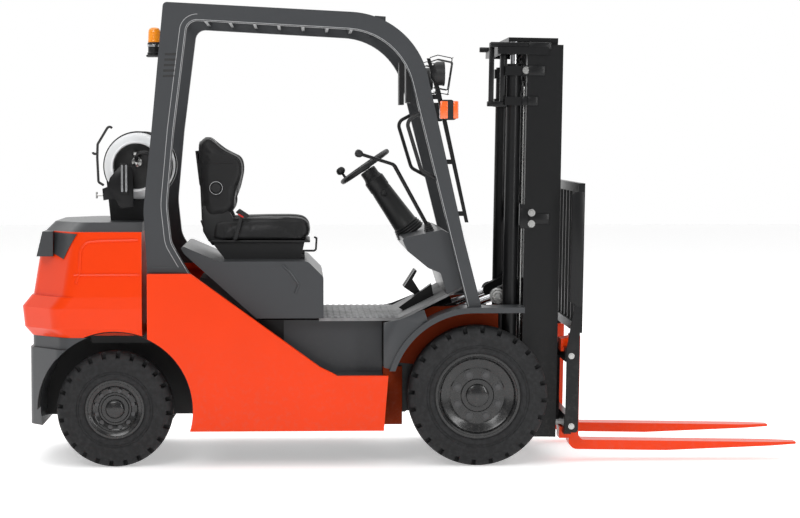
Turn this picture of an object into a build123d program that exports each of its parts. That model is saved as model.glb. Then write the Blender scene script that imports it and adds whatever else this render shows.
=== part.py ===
"""Counterbalance forklift truck with a two-stage mast.

Millimetres, +X forward, +Y to the truck's left, +Z up. The origin is on the floor, under the middle of the
truck's box. Side outlines are given from the front axle (ahead) or from the rear axle (astern).
"""
import os
from math import cos, hypot, radians, sin

from build123d import *

os.makedirs("parts", exist_ok=True)

# Overall sizes
WHEELBASE = 1680.0
REAR_OVERHANG = 445.0
FORK_FACE = 488.0
FORK_LENGTH = 1040.0
BODY_WIDTH = 1150.0
HALF_WIDTH = BODY_WIDTH / 2

# Clearances
TOUCH = 0.3
BORE_FIT = 0.05
RUNNING = 6.0

# Wheels and axles
FRONT_TYRE_RADIUS = 325.0
FRONT_TYRE_WIDTH = 190.0
FRONT_RIM_RADIUS = 197.5
REAR_TYRE_RADIUS = 268.0
REAR_TYRE_WIDTH = 160.0
REAR_RIM_RADIUS = 136.5
REAR_TYRE_INSET = 25.0
FRONT_TREAD = HALF_WIDTH - FRONT_TYRE_WIDTH / 2
REAR_TREAD = HALF_WIDTH - REAR_TYRE_INSET - REAR_TYRE_WIDTH / 2
TYRE_LUGS = 24
LUG_SLOT_WIDTH = 19.0
LUG_SLOT_DEPTH = 30.0
AXLE_TUBE_RADIUS = 75.0
KINGPIN_OFFSET = 92.0
KINGPIN_Y = REAR_TREAD - KINGPIN_OFFSET
KINGPIN_RADIUS = 20.0

# Mast
MAST_LEAN = 1.0
MAST_PIVOT_X = 135.0
MAST_PIVOT_Z = 300.0
MAST_PIN_RADIUS = 25.0
MAST_HALF_WIDTH = 365.0
RAIL_BACK = 218.0
RAIL_DEPTH = 167.0
RAIL_BOTTOM = 114.0
RAIL_TOP = 1962.0
OUTER_WEB = 12.0
OUTER_FLANGE = 16.0
OUTER_FLANGE_REACH = 75.0
INNER_WEB = 14.0
INNER_FLANGE = 14.0
INNER_FLANGE_REACH = 71.0
RAIL_GAP = 6.0
WEB_GAP = 27.0
CROSSHEAD_BOTTOM = 1974.0
CROSSHEAD_THICKNESS = 20.0
LIFT_CYLINDER_X = 160.0
LIFT_CYLINDER_Y = 312.0
LIFT_BARREL_RADIUS = 35.0
LIFT_ROD_RADIUS = 20.0
LIFT_BARREL_TOP = 1870.0
CYLINDER_SEAT = 134.0
SHEAVE_RADIUS = 44.0
SHEAVE_X = 282.0
SHEAVE_Y = 150.0
SHEAVE_Z = 1908.0
CHAIN_WIDTH = 32.0
CHAIN_THICKNESS = 12.0
CHAIN_ANCHOR_Z = 330.0
CHAIN_TIE_Z = 1696.0

# Tilt cylinders
TILT_EYE_X = 106.0
TILT_EYE_Z = 771.0
TILT_ANCHOR_X = -452.0
TILT_ANCHOR_Z = 572.0
TILT_CYLINDER_Y = 236.0
TILT_BARREL_RADIUS = 40.0
TILT_ROD_RADIUS = 19.0
TILT_PIN_RADIUS = 15.0
TILT_EYE_DRIFT = 3.0

# Carriage and forks
CARRIAGE_WIDTH = 1000.0
BAR_THICKNESS = 33.0
UPPER_BAR_BOTTOM = 483.0
UPPER_BAR_TOP = 548.0
LOWER_BAR_BOTTOM = 145.0
LOWER_BAR_TOP = 238.0
FORK_THICKNESS = 45.0
FORK_WIDTH = 120.0
FORK_Y = 350.0
FORK_BOTTOM = 63.0
FORK_TIP_THICKNESS = 11.0
FORK_SHANK_TOP = 602.0
BACKREST_TOP = 1317.0

# Body
FLOOR_Z = 682.0
STEP_Z = 423.0
SILL_Z = 168.0
HOOD_TOP = 947.0
HOOD_HALF_WIDTH = 460.0
GUARD_HALF_WIDTH = 530.0
GUARD_TUBE_WIDTH = 46.0
PANEL_THICKNESS = 30.0

LEAN_SIN = sin(radians(MAST_LEAN))
LEAN_COS = cos(radians(MAST_LEAN))
FORK_TOP = FORK_BOTTOM + FORK_THICKNESS
TIP_AHEAD = (
    MAST_PIVOT_X
    + (FORK_FACE + FORK_LENGTH - MAST_PIVOT_X) * LEAN_COS
    + (FORK_TOP - MAST_PIVOT_Z) * LEAN_SIN
)
FRONT_X = (WHEELBASE + REAR_OVERHANG - TIP_AHEAD) / 2
REAR_X = FRONT_X - WHEELBASE
FRONT_AXLE_Z = FRONT_TYRE_RADIUS
REAR_AXLE_Z = REAR_TYRE_RADIUS
SIDES = (("left", 1), ("right", -1))
BAR_SIDES = 8

MAST = Plane(
    origin=(FRONT_X + MAST_PIVOT_X, 0, MAST_PIVOT_Z),
    x_dir=(LEAN_COS, 0, -LEAN_SIN),
    z_dir=(LEAN_SIN, 0, LEAN_COS),
)


def ahead(*points):
    """Side-view points measured from the front axle and the floor."""
    return [(FRONT_X + x, z) for x, z in points]


def astern(*points):
    """Side-view points measured from the rear axle and the floor."""
    return [(REAR_X + x, z) for x, z in points]


def on_mast(*points):
    """Mast points measured from the front axle and the floor, as if the mast stood upright."""
    return [(x - MAST_PIVOT_X, z - MAST_PIVOT_Z) for x, z in points]


def side_plane(y):
    """Side-view plane at a distance y left of the centre. Extrusions from it run to the right."""
    return Plane.XZ.offset(-y)


def mast_side(y):
    """Side-view plane of the leaning mast at a distance y left of the centre."""
    return Plane(origin=MAST.from_local_coords((0, y, 0)), x_dir=MAST.x_dir, z_dir=(0, -1, 0))


def mast_level(z):
    """Cross-section plane of the leaning mast at a height z."""
    return MAST.offset(z - MAST_PIVOT_Z)


def outline(points, radius=0.0, mode=Mode.ADD):
    """Fill, cut or keep a closed outline, with one corner radius or a list of them."""
    with BuildLine() as edge:
        FilletPolyline(*points, radius=radius, close=True)
    make_face(edge.edges(), mode=mode)


def block(x_range, y_range, z_range, mode=Mode.ADD):
    """Add or cut a straight block between two corners."""
    middle = [(a + b) / 2 for a, b in (x_range, y_range, z_range)]
    size = [b - a for a, b in (x_range, y_range, z_range)]
    with Locations(tuple(middle)):
        Box(*size, mode=mode)


def round_bar(start, end, radius):
    """Add a straight bar between two points, with BAR_SIDES flats."""
    way = Vector(*end) - Vector(*start)
    with BuildSketch(Plane(origin=start, z_dir=way)) as bar_end:
        RegularPolygon(radius, BAR_SIDES)
    extrude(bar_end.sketch, amount=way.length)


def turned(base, rows, sides, mode=Mode.ADD):
    """Add a turned form with flats: rows are (distance along the plane's normal, radius to the flats)."""
    sections = []
    for along, radius in rows:
        with BuildSketch(base.offset(along)) as level:
            RegularPolygon(radius, sides, major_radius=False, rotation=180 / sides)
        sections.append(level.sketch)
    loft(sections, ruled=True, mode=mode)


def wheel_face(x, y, z):
    """Plane across a wheel's axle, facing left."""
    return Plane(origin=(x, y, z), x_dir=(1, 0, 0), z_dir=(0, 1, 0))


def save(piece, name):
    """Label a finished piece and write it."""
    piece.part.label = name
    export_step(piece.part, f"parts/{name}.step")


# Wheels and tyres
WHEEL_SIDES = 48
CAP_SIDES = 24
FRONT_RIM_WIDTH = 156.0
REAR_RIM_WIDTH = 132.0
RIM_LIP = 12.0
RIM_DROP = 28.0
FRONT_STUB_RADIUS = 45.0
REAR_STUB_RADIUS = 30.0
DISC_IN = 20.0
DISC_OUT = 40.0
CAP_OUT = 60.0
FRONT_DISC_RADIUS = 135.0
FRONT_CAP_RADIUS = 53.0
REAR_DISC_RADIUS = 76.0
REAR_CAP_RADIUS = 44.0
TYRE_SHOULDER = 24.0
TYRE_CROWN = 32.0
SLOT_REACH = 46.0


def make_tyre(name, place, radius, width, rim_radius):
    """An industrial tyre with slots across both shoulders, staggered from side to side."""
    x, y, z = place
    half = width / 2
    bead = rim_radius + BORE_FIT
    flank = [(half - TYRE_CROWN, radius), (half, radius - TYRE_SHOULDER)]
    with BuildPart() as tyre:
        turned(wheel_face(x, y, z), [(-u, v) for u, v in reversed(flank)] + flank, WHEEL_SIDES)
        turned(wheel_face(x, y, z), [(-half, bead), (half, bead)], WHEEL_SIDES, Mode.SUBTRACT)
        for side in (1, -1):
            slot_y = y + side * (half - SLOT_REACH / 2 + 1)
            stagger = 90 / TYRE_LUGS * side
            with Locations(wheel_face(x, slot_y, z).location):
                with PolarLocations(radius - LUG_SLOT_DEPTH / 2 + 1, TYRE_LUGS, start_angle=stagger):
                    Box(LUG_SLOT_DEPTH + 2, LUG_SLOT_WIDTH, SLOT_REACH + 2, mode=Mode.SUBTRACT)
    save(tyre, name)


def make_wheel(name, place, side, rim_radius, rim_width, disc_radius, cap_radius, stub_radius):
    """A steel disc wheel with a rolled rim, a dished disc and a closed hub cap over its bore."""
    half = rim_width / 2
    face = Plane(origin=place, x_dir=(1, 0, 0), z_dir=(0, side, 0))
    dish = [(DISC_OUT, disc_radius), (half - RIM_DROP, rim_radius - RIM_DROP), (half, rim_radius - RIM_LIP)]
    well = [(-half, rim_radius - RIM_LIP), (DISC_IN - RIM_DROP, rim_radius - RIM_DROP), (DISC_IN, disc_radius)]
    with BuildPart() as wheel:
        turned(face, [(-half, rim_radius), (half, rim_radius)], WHEEL_SIDES)
        turned(face, dish, WHEEL_SIDES, Mode.SUBTRACT)
        turned(face, well, WHEEL_SIDES, Mode.SUBTRACT)
        turned(face, [(DISC_OUT, cap_radius), (CAP_OUT, cap_radius - RIM_LIP)], CAP_SIDES)
        with Locations(face.offset((DISC_IN + DISC_OUT) / 2).location):
            Cylinder(stub_radius + BORE_FIT, DISC_OUT - DISC_IN, mode=Mode.SUBTRACT)
    save(wheel, name)


for side_name, side in SIDES:
    front_place = (FRONT_X, side * FRONT_TREAD, FRONT_AXLE_Z)
    rear_place = (REAR_X, side * REAR_TREAD, REAR_AXLE_Z)
    make_tyre(
        f"tyre_front_{side_name}", front_place, FRONT_TYRE_RADIUS, FRONT_TYRE_WIDTH, FRONT_RIM_RADIUS,
    )
    make_tyre(f"tyre_rear_{side_name}", rear_place, REAR_TYRE_RADIUS, REAR_TYRE_WIDTH, REAR_RIM_RADIUS)
    make_wheel(
        f"wheel_front_{side_name}", front_place, side, FRONT_RIM_RADIUS, FRONT_RIM_WIDTH,
        FRONT_DISC_RADIUS, FRONT_CAP_RADIUS, FRONT_STUB_RADIUS,
    )
    make_wheel(
        f"wheel_rear_{side_name}", rear_place, side, REAR_RIM_RADIUS, REAR_RIM_WIDTH,
        REAR_DISC_RADIUS, REAR_CAP_RADIUS, REAR_STUB_RADIUS,
    )

# Drive axle: tube, differential, brake drums, stubs, saddle pads and the mast's trunnion lugs
RAIL_IN = 310.0
RAIL_OUT = 360.0
SADDLE_Z = 412.0
SADDLE_LENGTH = 150.0
DIFFERENTIAL_RADIUS = 160.0
DRUM_RADIUS = 128.0
DRUM_WIDTH = 88.0
DRUM_INNER_Y = 388.0
TRUNNION_RADIUS = 44.0
TRUNNION_IN = 216.0
TRUNNION_OUT = 250.0

AXLE_SIDES = 36
STUB_END = FRONT_TREAD + DISC_OUT - 1
tube_half = [
    (DIFFERENTIAL_RADIUS / 2, DIFFERENTIAL_RADIUS),
    (DIFFERENTIAL_RADIUS + 30, AXLE_TUBE_RADIUS),
    (DRUM_INNER_Y, AXLE_TUBE_RADIUS),
]
with BuildPart() as drive_axle:
    axle_face = wheel_face(FRONT_X, 0, FRONT_AXLE_Z)
    turned(axle_face, [(-u, v) for u, v in reversed(tube_half)] + tube_half, AXLE_SIDES)
    for _, side in SIDES:
        drum_face = Plane(origin=(FRONT_X, 0, FRONT_AXLE_Z), x_dir=(1, 0, 0), z_dir=(0, side, 0))
        drum = [(DRUM_INNER_Y, DRUM_RADIUS), (DRUM_INNER_Y + DRUM_WIDTH, DRUM_RADIUS)]
        turned(drum_face, drum, AXLE_SIDES)
        with Locations(drum_face.offset((DRUM_INNER_Y + STUB_END) / 2).location):
            Cylinder(FRONT_STUB_RADIUS, STUB_END - DRUM_INNER_Y)
    for _, side in SIDES:
        pad_y = sorted((side * RAIL_IN, side * RAIL_OUT))
        block(
            (FRONT_X - SADDLE_LENGTH / 2, FRONT_X + SADDLE_LENGTH / 2), pad_y, (FRONT_AXLE_Z, SADDLE_Z),
        )
    with BuildSketch(side_plane(TRUNNION_OUT)):
        with Locations(ahead((0, FRONT_AXLE_Z))):
            Circle(AXLE_TUBE_RADIUS)
        with Locations(ahead((MAST_PIVOT_X, MAST_PIVOT_Z))):
            Circle(TRUNNION_RADIUS)
        make_hull()
        with Locations(ahead((MAST_PIVOT_X, MAST_PIVOT_Z))):
            Circle(MAST_PIN_RADIUS + BORE_FIT, mode=Mode.SUBTRACT)
    extrude(amount=TRUNNION_OUT - TRUNNION_IN)
    with BuildSketch(side_plane(-TRUNNION_IN)):
        with Locations(ahead((0, FRONT_AXLE_Z))):
            Circle(AXLE_TUBE_RADIUS)
        with Locations(ahead((MAST_PIVOT_X, MAST_PIVOT_Z))):
            Circle(TRUNNION_RADIUS)
        make_hull()
        with Locations(ahead((MAST_PIVOT_X, MAST_PIVOT_Z))):
            Circle(MAST_PIN_RADIUS + BORE_FIT, mode=Mode.SUBTRACT)
    extrude(amount=TRUNNION_OUT - TRUNNION_IN)
save(drive_axle, "drive_axle")

# Steer axle: beam with yokes and kingpins, hung from the frame's tail by a centre bracket
BEAM_HALF_WIDTH = 36.0
BEAM_HALF_HEIGHT = 48.0
EAR_THICKNESS = 24.0
KNUCKLE_HALF_HEIGHT = 42.0
KNUCKLE_RADIUS = 38.0
TAIL_BOTTOM = 562.0
TAIL_TOP = 600.0
HANGER_HALF_WIDTH = 80.0
HANGER_HALF_LENGTH = 110.0
EAR_BOTTOM = KNUCKLE_HALF_HEIGHT + 1.0

with BuildPart() as steer_axle:
    beam_end = KINGPIN_Y - KNUCKLE_RADIUS - RUNNING
    block(
        (REAR_X - BEAM_HALF_WIDTH, REAR_X + BEAM_HALF_WIDTH), (-beam_end, beam_end),
        (REAR_AXLE_Z - BEAM_HALF_HEIGHT, REAR_AXLE_Z + BEAM_HALF_HEIGHT),
    )
    with BuildSketch(Plane.XY.offset(REAR_AXLE_Z - EAR_BOTTOM - EAR_THICKNESS)):
        with Locations((REAR_X, KINGPIN_Y), (REAR_X, -KINGPIN_Y)):
            Circle(BEAM_HALF_WIDTH)
        make_hull()
    extrude(amount=EAR_THICKNESS)
    with BuildSketch(Plane.XY.offset(REAR_AXLE_Z + EAR_BOTTOM)):
        with Locations((REAR_X, KINGPIN_Y), (REAR_X, -KINGPIN_Y)):
            Circle(BEAM_HALF_WIDTH)
        make_hull()
    extrude(amount=EAR_THICKNESS)
    with BuildSketch(Plane.XY.offset(REAR_AXLE_Z - EAR_BOTTOM)):
        with Locations((REAR_X, KINGPIN_Y), (REAR_X, -KINGPIN_Y)):
            Circle(KINGPIN_RADIUS)
    extrude(amount=2 * EAR_BOTTOM)
    with BuildSketch(Plane.YZ.offset(REAR_X - HANGER_HALF_LENGTH)):
        outline(
            [
                (-HANGER_HALF_WIDTH, REAR_AXLE_Z),
                (HANGER_HALF_WIDTH, REAR_AXLE_Z),
                (HANGER_HALF_WIDTH * 0.7, TAIL_BOTTOM),
                (-HANGER_HALF_WIDTH * 0.7, TAIL_BOTTOM),
            ]
        )
    extrude(amount=2 * HANGER_HALF_LENGTH)
save(steer_axle, "steer_axle")

for side_name, side in SIDES:
    knuckle_y = side * KINGPIN_Y
    stub_end = side * (REAR_TREAD + DISC_OUT - 1)
    with BuildPart() as knuckle:
        with BuildSketch(Plane.XY.offset(REAR_AXLE_Z - KNUCKLE_HALF_HEIGHT)):
            with Locations((REAR_X, knuckle_y)):
                Circle(KNUCKLE_RADIUS)
        extrude(amount=2 * KNUCKLE_HALF_HEIGHT)
        with BuildSketch(Plane.XZ.offset(-knuckle_y)):
            with Locations((REAR_X, REAR_AXLE_Z)):
                Circle(REAR_STUB_RADIUS)
        extrude(amount=knuckle_y - stub_end)
        with BuildSketch(Plane.XY.offset(REAR_AXLE_Z - KNUCKLE_HALF_HEIGHT)):
            with Locations((REAR_X, knuckle_y)):
                Circle(KINGPIN_RADIUS + BORE_FIT)
        extrude(amount=2 * KNUCKLE_HALF_HEIGHT, mode=Mode.SUBTRACT)
    save(knuckle, f"knuckle_{side_name}")

# Frame: two rails over the drive axle, a tail over the steer axle and cross plates
ARCH_RADIUS = 362.0
RAIL_REAR = 352.0
TAIL_REAR = -120.0
RAIL_FRONT = 50.0
RAIL_UNDERSIDE = 232.0
FLOOR_THICKNESS = 14.0
STEP_THICKNESS = 8.0
BOX_FRONT = -440.0

rail_outline = (
    astern((TAIL_REAR, TAIL_BOTTOM), (RAIL_REAR, TAIL_BOTTOM), (RAIL_REAR, RAIL_UNDERSIDE))
    + ahead(
        (-330, RAIL_UNDERSIDE),
        (-SADDLE_LENGTH / 2 - 40, SADDLE_Z),
        (RAIL_FRONT, SADDLE_Z),
        (RAIL_FRONT, TAIL_TOP),
        (-360, FLOOR_Z - FLOOR_THICKNESS),
        (-1010, FLOOR_Z - FLOOR_THICKNESS),
        (-1080, TAIL_TOP),
    )
    + astern((TAIL_REAR, TAIL_TOP))
)
with BuildPart() as frame:
    for y in (RAIL_OUT, -RAIL_IN):
        with BuildSketch(side_plane(y)):
            outline(rail_outline)
        extrude(amount=RAIL_OUT - RAIL_IN)
    inside = (-RAIL_IN, RAIL_IN)
    block((REAR_X + RAIL_REAR, REAR_X + RAIL_REAR + 30), inside, (RAIL_UNDERSIDE, TAIL_TOP))
    block((REAR_X - HANGER_HALF_LENGTH, REAR_X + HANGER_HALF_LENGTH), inside, (TAIL_BOTTOM, TAIL_TOP))
    block((FRONT_X - 330, FRONT_X - 300), inside, (RAIL_UNDERSIDE, TAIL_BOTTOM))
    for _, side in SIDES:
        for cheek in (TILT_CYLINDER_Y - 34, TILT_CYLINDER_Y + 34):
            cheek_y = sorted((side * (cheek - 6), side * (cheek + 6)))
            block((FRONT_X + TILT_ANCHOR_X - 30, FRONT_X + TILT_ANCHOR_X + 24), cheek_y, (532, 612))
        web_y = sorted((side * (TILT_CYLINDER_Y - 40), side * RAIL_IN))
        block((FRONT_X + TILT_ANCHOR_X - 60, FRONT_X + TILT_ANCHOR_X - 30), web_y, (532, 612))
        with BuildSketch(side_plane(side * TILT_CYLINDER_Y + 40)):
            with Locations(ahead((TILT_ANCHOR_X, TILT_ANCHOR_Z))):
                Circle(TILT_PIN_RADIUS)
        extrude(amount=80)
save(frame, "frame")

# Tank boxes outside the rails, under the steps
with BuildPart() as tank_boxes:
    for _, side in SIDES:
        box_y = sorted((side * RAIL_OUT, side * (HALF_WIDTH - PANEL_THICKNESS)))
        block(
            (REAR_X + ARCH_RADIUS, FRONT_X + BOX_FRONT), box_y,
            (SILL_Z + 12, STEP_Z - STEP_THICKNESS),
        )
save(tank_boxes, "tank_boxes")

# Engine, one plain block between the rails
with BuildPart() as engine:
    block(
        (REAR_X + RAIL_REAR + 30, FRONT_X - 745), (-230, 230), (300, HOOD_TOP - 90),
    )
save(engine, "engine")

# Side panels with a folded lip along the sloping edge
SILL_REAR = -657.0
panel_top = astern((153, 893), (351, 893)) + ahead((-737, 463), (SILL_REAR, STEP_Z))
panel_outline = panel_top + ahead((SILL_REAR, SILL_Z)) + astern((153, SILL_Z))
LIP_WIDTH = 95.0
LIP_DEPTH = 26.0
lip_outline = astern((153, 893), (351, 893)) + ahead((-737, 463), (-752, 438)) + astern(
    (340, 893 - LIP_DEPTH), (153, 893 - LIP_DEPTH)
)
with BuildPart() as side_panels:
    with BuildSketch(side_plane(HALF_WIDTH)):
        outline(panel_outline)
        with Locations(astern((0, REAR_AXLE_Z))):
            Circle(ARCH_RADIUS, mode=Mode.SUBTRACT)
    extrude(amount=PANEL_THICKNESS)
    with BuildSketch(side_plane(HALF_WIDTH - PANEL_THICKNESS)):
        outline(lip_outline)
    extrude(amount=LIP_WIDTH - PANEL_THICKNESS)
    mirror(about=Plane.XZ)
save(side_panels, "side_panels")

# Sills that carry the panels' line forward under the steps
with BuildPart() as sills:
    with BuildSketch(side_plane(HALF_WIDTH)):
        outline(ahead((SILL_REAR, STEP_Z), (-416, STEP_Z), (-437, SILL_Z), (SILL_REAR, SILL_Z)))
    extrude(amount=PANEL_THICKNESS)
    mirror(about=Plane.XZ)
save(sills, "sills")

# Counterweight: a cast block, rounded in plan, with a bulge above the bumper
BLOCK_FRONT = 128.0
BLOCK_BELT = 789.0
BLOCK_TOP = 1088.0
BLOCK_HALF = HALF_WIDTH - 15.0


def plan(rear, half, corner, nose):
    """Plan outline of the counterweight: square in front, rounded at the rear."""
    points = [
        (REAR_X + BLOCK_FRONT, half),
        (REAR_X + rear + corner, half),
        (REAR_X + rear, nose),
        (REAR_X + rear, -nose),
        (REAR_X + rear + corner, -half),
        (REAR_X + BLOCK_FRONT, -half),
    ]
    outline(points, radius=[0, corner * 0.5, corner * 0.5, corner * 0.5, corner * 0.5, 0])


BULGE_SECTIONS = (
    (TAIL_TOP, -400, BLOCK_HALF - 30),
    (640, -435, BLOCK_HALF - 4),
    (735, -REAR_OVERHANG, BLOCK_HALF),
    (BLOCK_BELT, -401, BLOCK_HALF),
)
with BuildPart() as counterweight:
    for level, rear, half in BULGE_SECTIONS:
        with BuildSketch(Plane.XY.offset(level)):
            plan(rear, half, 170, 330)
    loft(ruled=True)
    for level, rear, half in ((BLOCK_BELT, -396, BLOCK_HALF), (BLOCK_TOP, -345, BLOCK_HALF - 15)):
        with BuildSketch(Plane.XY.offset(level)):
            plan(rear, half, 180, 300)
    loft(ruled=True)
    for y in (BLOCK_HALF, -400):
        with BuildSketch(side_plane(y)):
            with Locations(astern((0, REAR_AXLE_Z))):
                Circle(ARCH_RADIUS)
        extrude(amount=BLOCK_HALF - 400, mode=Mode.SUBTRACT)
    block((REAR_X - REAR_OVERHANG, REAR_X - 290), (-430, 430), (972, BLOCK_TOP), mode=Mode.SUBTRACT)
save(counterweight, "counterweight")

# Lower bumper of the counterweight, behind the rear wheels
BUMPER_BOTTOM = 183.0
BUMPER_STEP_Z = 545.0
with BuildPart() as bumper:
    with BuildSketch(Plane.XY.offset(BUMPER_BOTTOM)):
        plan(-408, BLOCK_HALF - 12, 160, 330)
    extrude(amount=BUMPER_STEP_Z - BUMPER_BOTTOM)
    with BuildSketch(Plane.XY.offset(BUMPER_STEP_Z)):
        plan(-396, BLOCK_HALF - 30, 160, 330)
    extrude(amount=TAIL_TOP - BUMPER_STEP_Z)
    with BuildSketch(side_plane(BLOCK_HALF)):
        with Locations(astern((0, REAR_AXLE_Z))):
            Circle(ARCH_RADIUS - 8)
    extrude(amount=2 * BLOCK_HALF, mode=Mode.SUBTRACT)
    block(
        (REAR_X - 100, REAR_X + BLOCK_FRONT),
        (-BLOCK_HALF, BLOCK_HALF),
        (BUMPER_BOTTOM, TAIL_TOP),
        mode=Mode.SUBTRACT,
    )
save(bumper, "bumper")

# Rear cover over the counterweight
COVER_TOP = 1131.0
with BuildPart() as rear_cover:
    for level, rear, half in ((BLOCK_TOP, -338, 500), (COVER_TOP, -294, 470)):
        with BuildSketch(Plane.XY.offset(level)):
            plan(rear, half, 150, 270)
    loft(ruled=True)
    with BuildSketch(side_plane(429)):
        outline(astern((-290, 972), (-366, 972), (-338, BLOCK_TOP), (-290, BLOCK_TOP)))
    extrude(amount=2 * 429)
save(rear_cover, "rear_cover")

# Floor plate with its sloping toe board, and the step wells
FLOOR_HALF = 440.0
FLOOR_REAR = -735.0
TOE_FOOT = -359.0
TOE_TOP_X = -66.0
TOE_TOP_Z = 829.0
with BuildPart() as floor_plate:
    with BuildSketch(side_plane(FLOOR_HALF)):
        outline(
            ahead(
                (FLOOR_REAR, FLOOR_Z - FLOOR_THICKNESS),
                (FLOOR_REAR, FLOOR_Z),
                (TOE_FOOT, FLOOR_Z),
                (TOE_TOP_X, TOE_TOP_Z),
                (TOE_TOP_X, TOE_TOP_Z - FLOOR_THICKNESS),
                (TOE_FOOT, FLOOR_Z - FLOOR_THICKNESS),
            )
        )
    extrude(amount=2 * FLOOR_HALF)
save(floor_plate, "floor_plate")

WELL_THICKNESS = 10.0
with BuildPart() as step_wells:
    for _, side in SIDES:
        riser_y = sorted((side * RAIL_OUT, side * (RAIL_OUT + WELL_THICKNESS)))
        tread_y = sorted((side * (RAIL_OUT + WELL_THICKNESS), side * (HALF_WIDTH - PANEL_THICKNESS)))
        block(
            (FRONT_X - 900, FRONT_X + BOX_FRONT), riser_y,
            (STEP_Z - STEP_THICKNESS, FLOOR_Z - FLOOR_THICKNESS),
        )
        block((FRONT_X - 900, FRONT_X + BOX_FRONT), tread_y, (STEP_Z - STEP_THICKNESS, STEP_Z))
save(step_wells, "step_wells")

# Front fenders: arches over the front tyres with a flat bar forward, and inner fenders beside the frame
FENDER_RADIUS = 400.0
FENDER_THICKNESS = 26.0
FENDER_X = -15.0
FENDER_FOOT = 444.0
FENDER_TOP = FRONT_AXLE_Z + FENDER_RADIUS + FENDER_THICKNESS / 2
FENDER_BAR_FRONT = 216.0
INNER_FENDER = 16.0
FENDER_IN = RAIL_OUT + INNER_FENDER
with BuildPart() as front_fenders:
    with BuildSketch(side_plane(HALF_WIDTH)):
        with Locations(ahead((FENDER_X, FRONT_AXLE_Z))):
            Circle(FENDER_RADIUS + FENDER_THICKNESS / 2)
        outline(
            ahead(
                (FENDER_X - 2 * FENDER_RADIUS, FENDER_FOOT),
                (FENDER_X - 2 * FENDER_RADIUS, 2 * FENDER_TOP),
                (FENDER_X, 2 * FENDER_TOP),
                (FENDER_X, FENDER_FOOT),
            ),
            mode=Mode.INTERSECT,
        )
        with Locations(ahead((FENDER_X, FRONT_AXLE_Z))):
            Circle(FENDER_RADIUS - FENDER_THICKNESS / 2, mode=Mode.SUBTRACT)
        outline(
            ahead(
                (FENDER_X - 4, FENDER_TOP - FENDER_THICKNESS),
                (FENDER_BAR_FRONT, FENDER_TOP - FENDER_THICKNESS),
                (FENDER_BAR_FRONT, FENDER_TOP),
                (FENDER_X - 4, FENDER_TOP),
            )
        )
    extrude(amount=HALF_WIDTH - FENDER_IN)
    mirror(about=Plane.XZ)
save(front_fenders, "front_fenders")

with BuildPart() as inner_fenders:
    with BuildSketch(side_plane(FENDER_IN)):
        outline(
            ahead((-395, 470), (-395, 640), (-359, 662), (-200, 730), (108, 738), (108, 560), (20, 430)),
            radius=[10, 10, 10, 40, 10, 60, 60],
        )
    extrude(amount=INNER_FENDER)
    mirror(about=Plane.XZ)
save(inner_fenders, "inner_fenders")

# Cowl, carried on the toe board between the front pillars
COWL_HALF = 470.0
TOE_SLOPE = (TOE_TOP_Z - FLOOR_Z) / (TOE_TOP_X - TOE_FOOT)


def toe_height(x):
    """Height of the toe board's upper face at a distance x ahead of the front axle."""
    return FLOOR_Z + (x - TOE_FOOT) * TOE_SLOPE


COWL_BACK = -350.0
COWL_BACK_Z = 1053.0
COWL_FRONT = -161.0
COWL_FRONT_Z = 1095.0
with BuildPart() as cowl:
    with BuildSketch(side_plane(COWL_HALF)):
        outline(
            ahead(
                (COWL_BACK, COWL_BACK_Z),
                (COWL_FRONT, COWL_FRONT_Z),
                (-122, 1075),
                (-70, toe_height(-70)),
                (-138, toe_height(-138)),
                (-169, 893),
                (-225, 915),
                (-324, 996),
            ),
            radius=[12, 14, 14, 0, 0, 20, 40, 20],
        )
    extrude(amount=2 * COWL_HALF)
save(cowl, "cowl")

# Steering column: a tapered cover on the cowl, raked back, with the wheel's shaft at its top
COLUMN_TOP_X = -498.0
COLUMN_TOP_Z = 1367.0
COLUMN_FOOT_X = -276.0
COLUMN_FOOT_Z = 1050.0
COLUMN_TOP_RADIUS = 38.0
COLUMN_FOOT_RADIUS = 62.0
SHAFT_RADIUS = 14.0
SHAFT_LENGTH = 22.0
column_run = hypot(COLUMN_TOP_X - COLUMN_FOOT_X, COLUMN_TOP_Z - COLUMN_FOOT_Z)
column_axis = (
    (COLUMN_TOP_X - COLUMN_FOOT_X) / column_run, 0, (COLUMN_TOP_Z - COLUMN_FOOT_Z) / column_run,
)
column_cross = (column_axis[2], 0, -column_axis[0])
COLUMN_TOP = Plane(
    origin=(FRONT_X + COLUMN_TOP_X, 0, COLUMN_TOP_Z), x_dir=column_cross, z_dir=column_axis,
)
COWL_LID = Plane(
    origin=(FRONT_X + COWL_BACK, 0, COWL_BACK_Z),
    x_dir=(COWL_FRONT - COWL_BACK, 0, COWL_FRONT_Z - COWL_BACK_Z),
    z_dir=(COWL_BACK_Z - COWL_FRONT_Z, 0, COWL_FRONT - COWL_BACK),
)
with BuildPart() as steering_column:
    turned(COLUMN_TOP, [(-column_run, COLUMN_FOOT_RADIUS), (0, COLUMN_TOP_RADIUS)], CAP_SIDES)
    split(bisect_by=COWL_LID, keep=Keep.TOP)
    with Locations(COLUMN_TOP.offset(SHAFT_LENGTH / 2).location):
        Cylinder(SHAFT_RADIUS, SHAFT_LENGTH)
save(steering_column, "steering_column")

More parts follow.
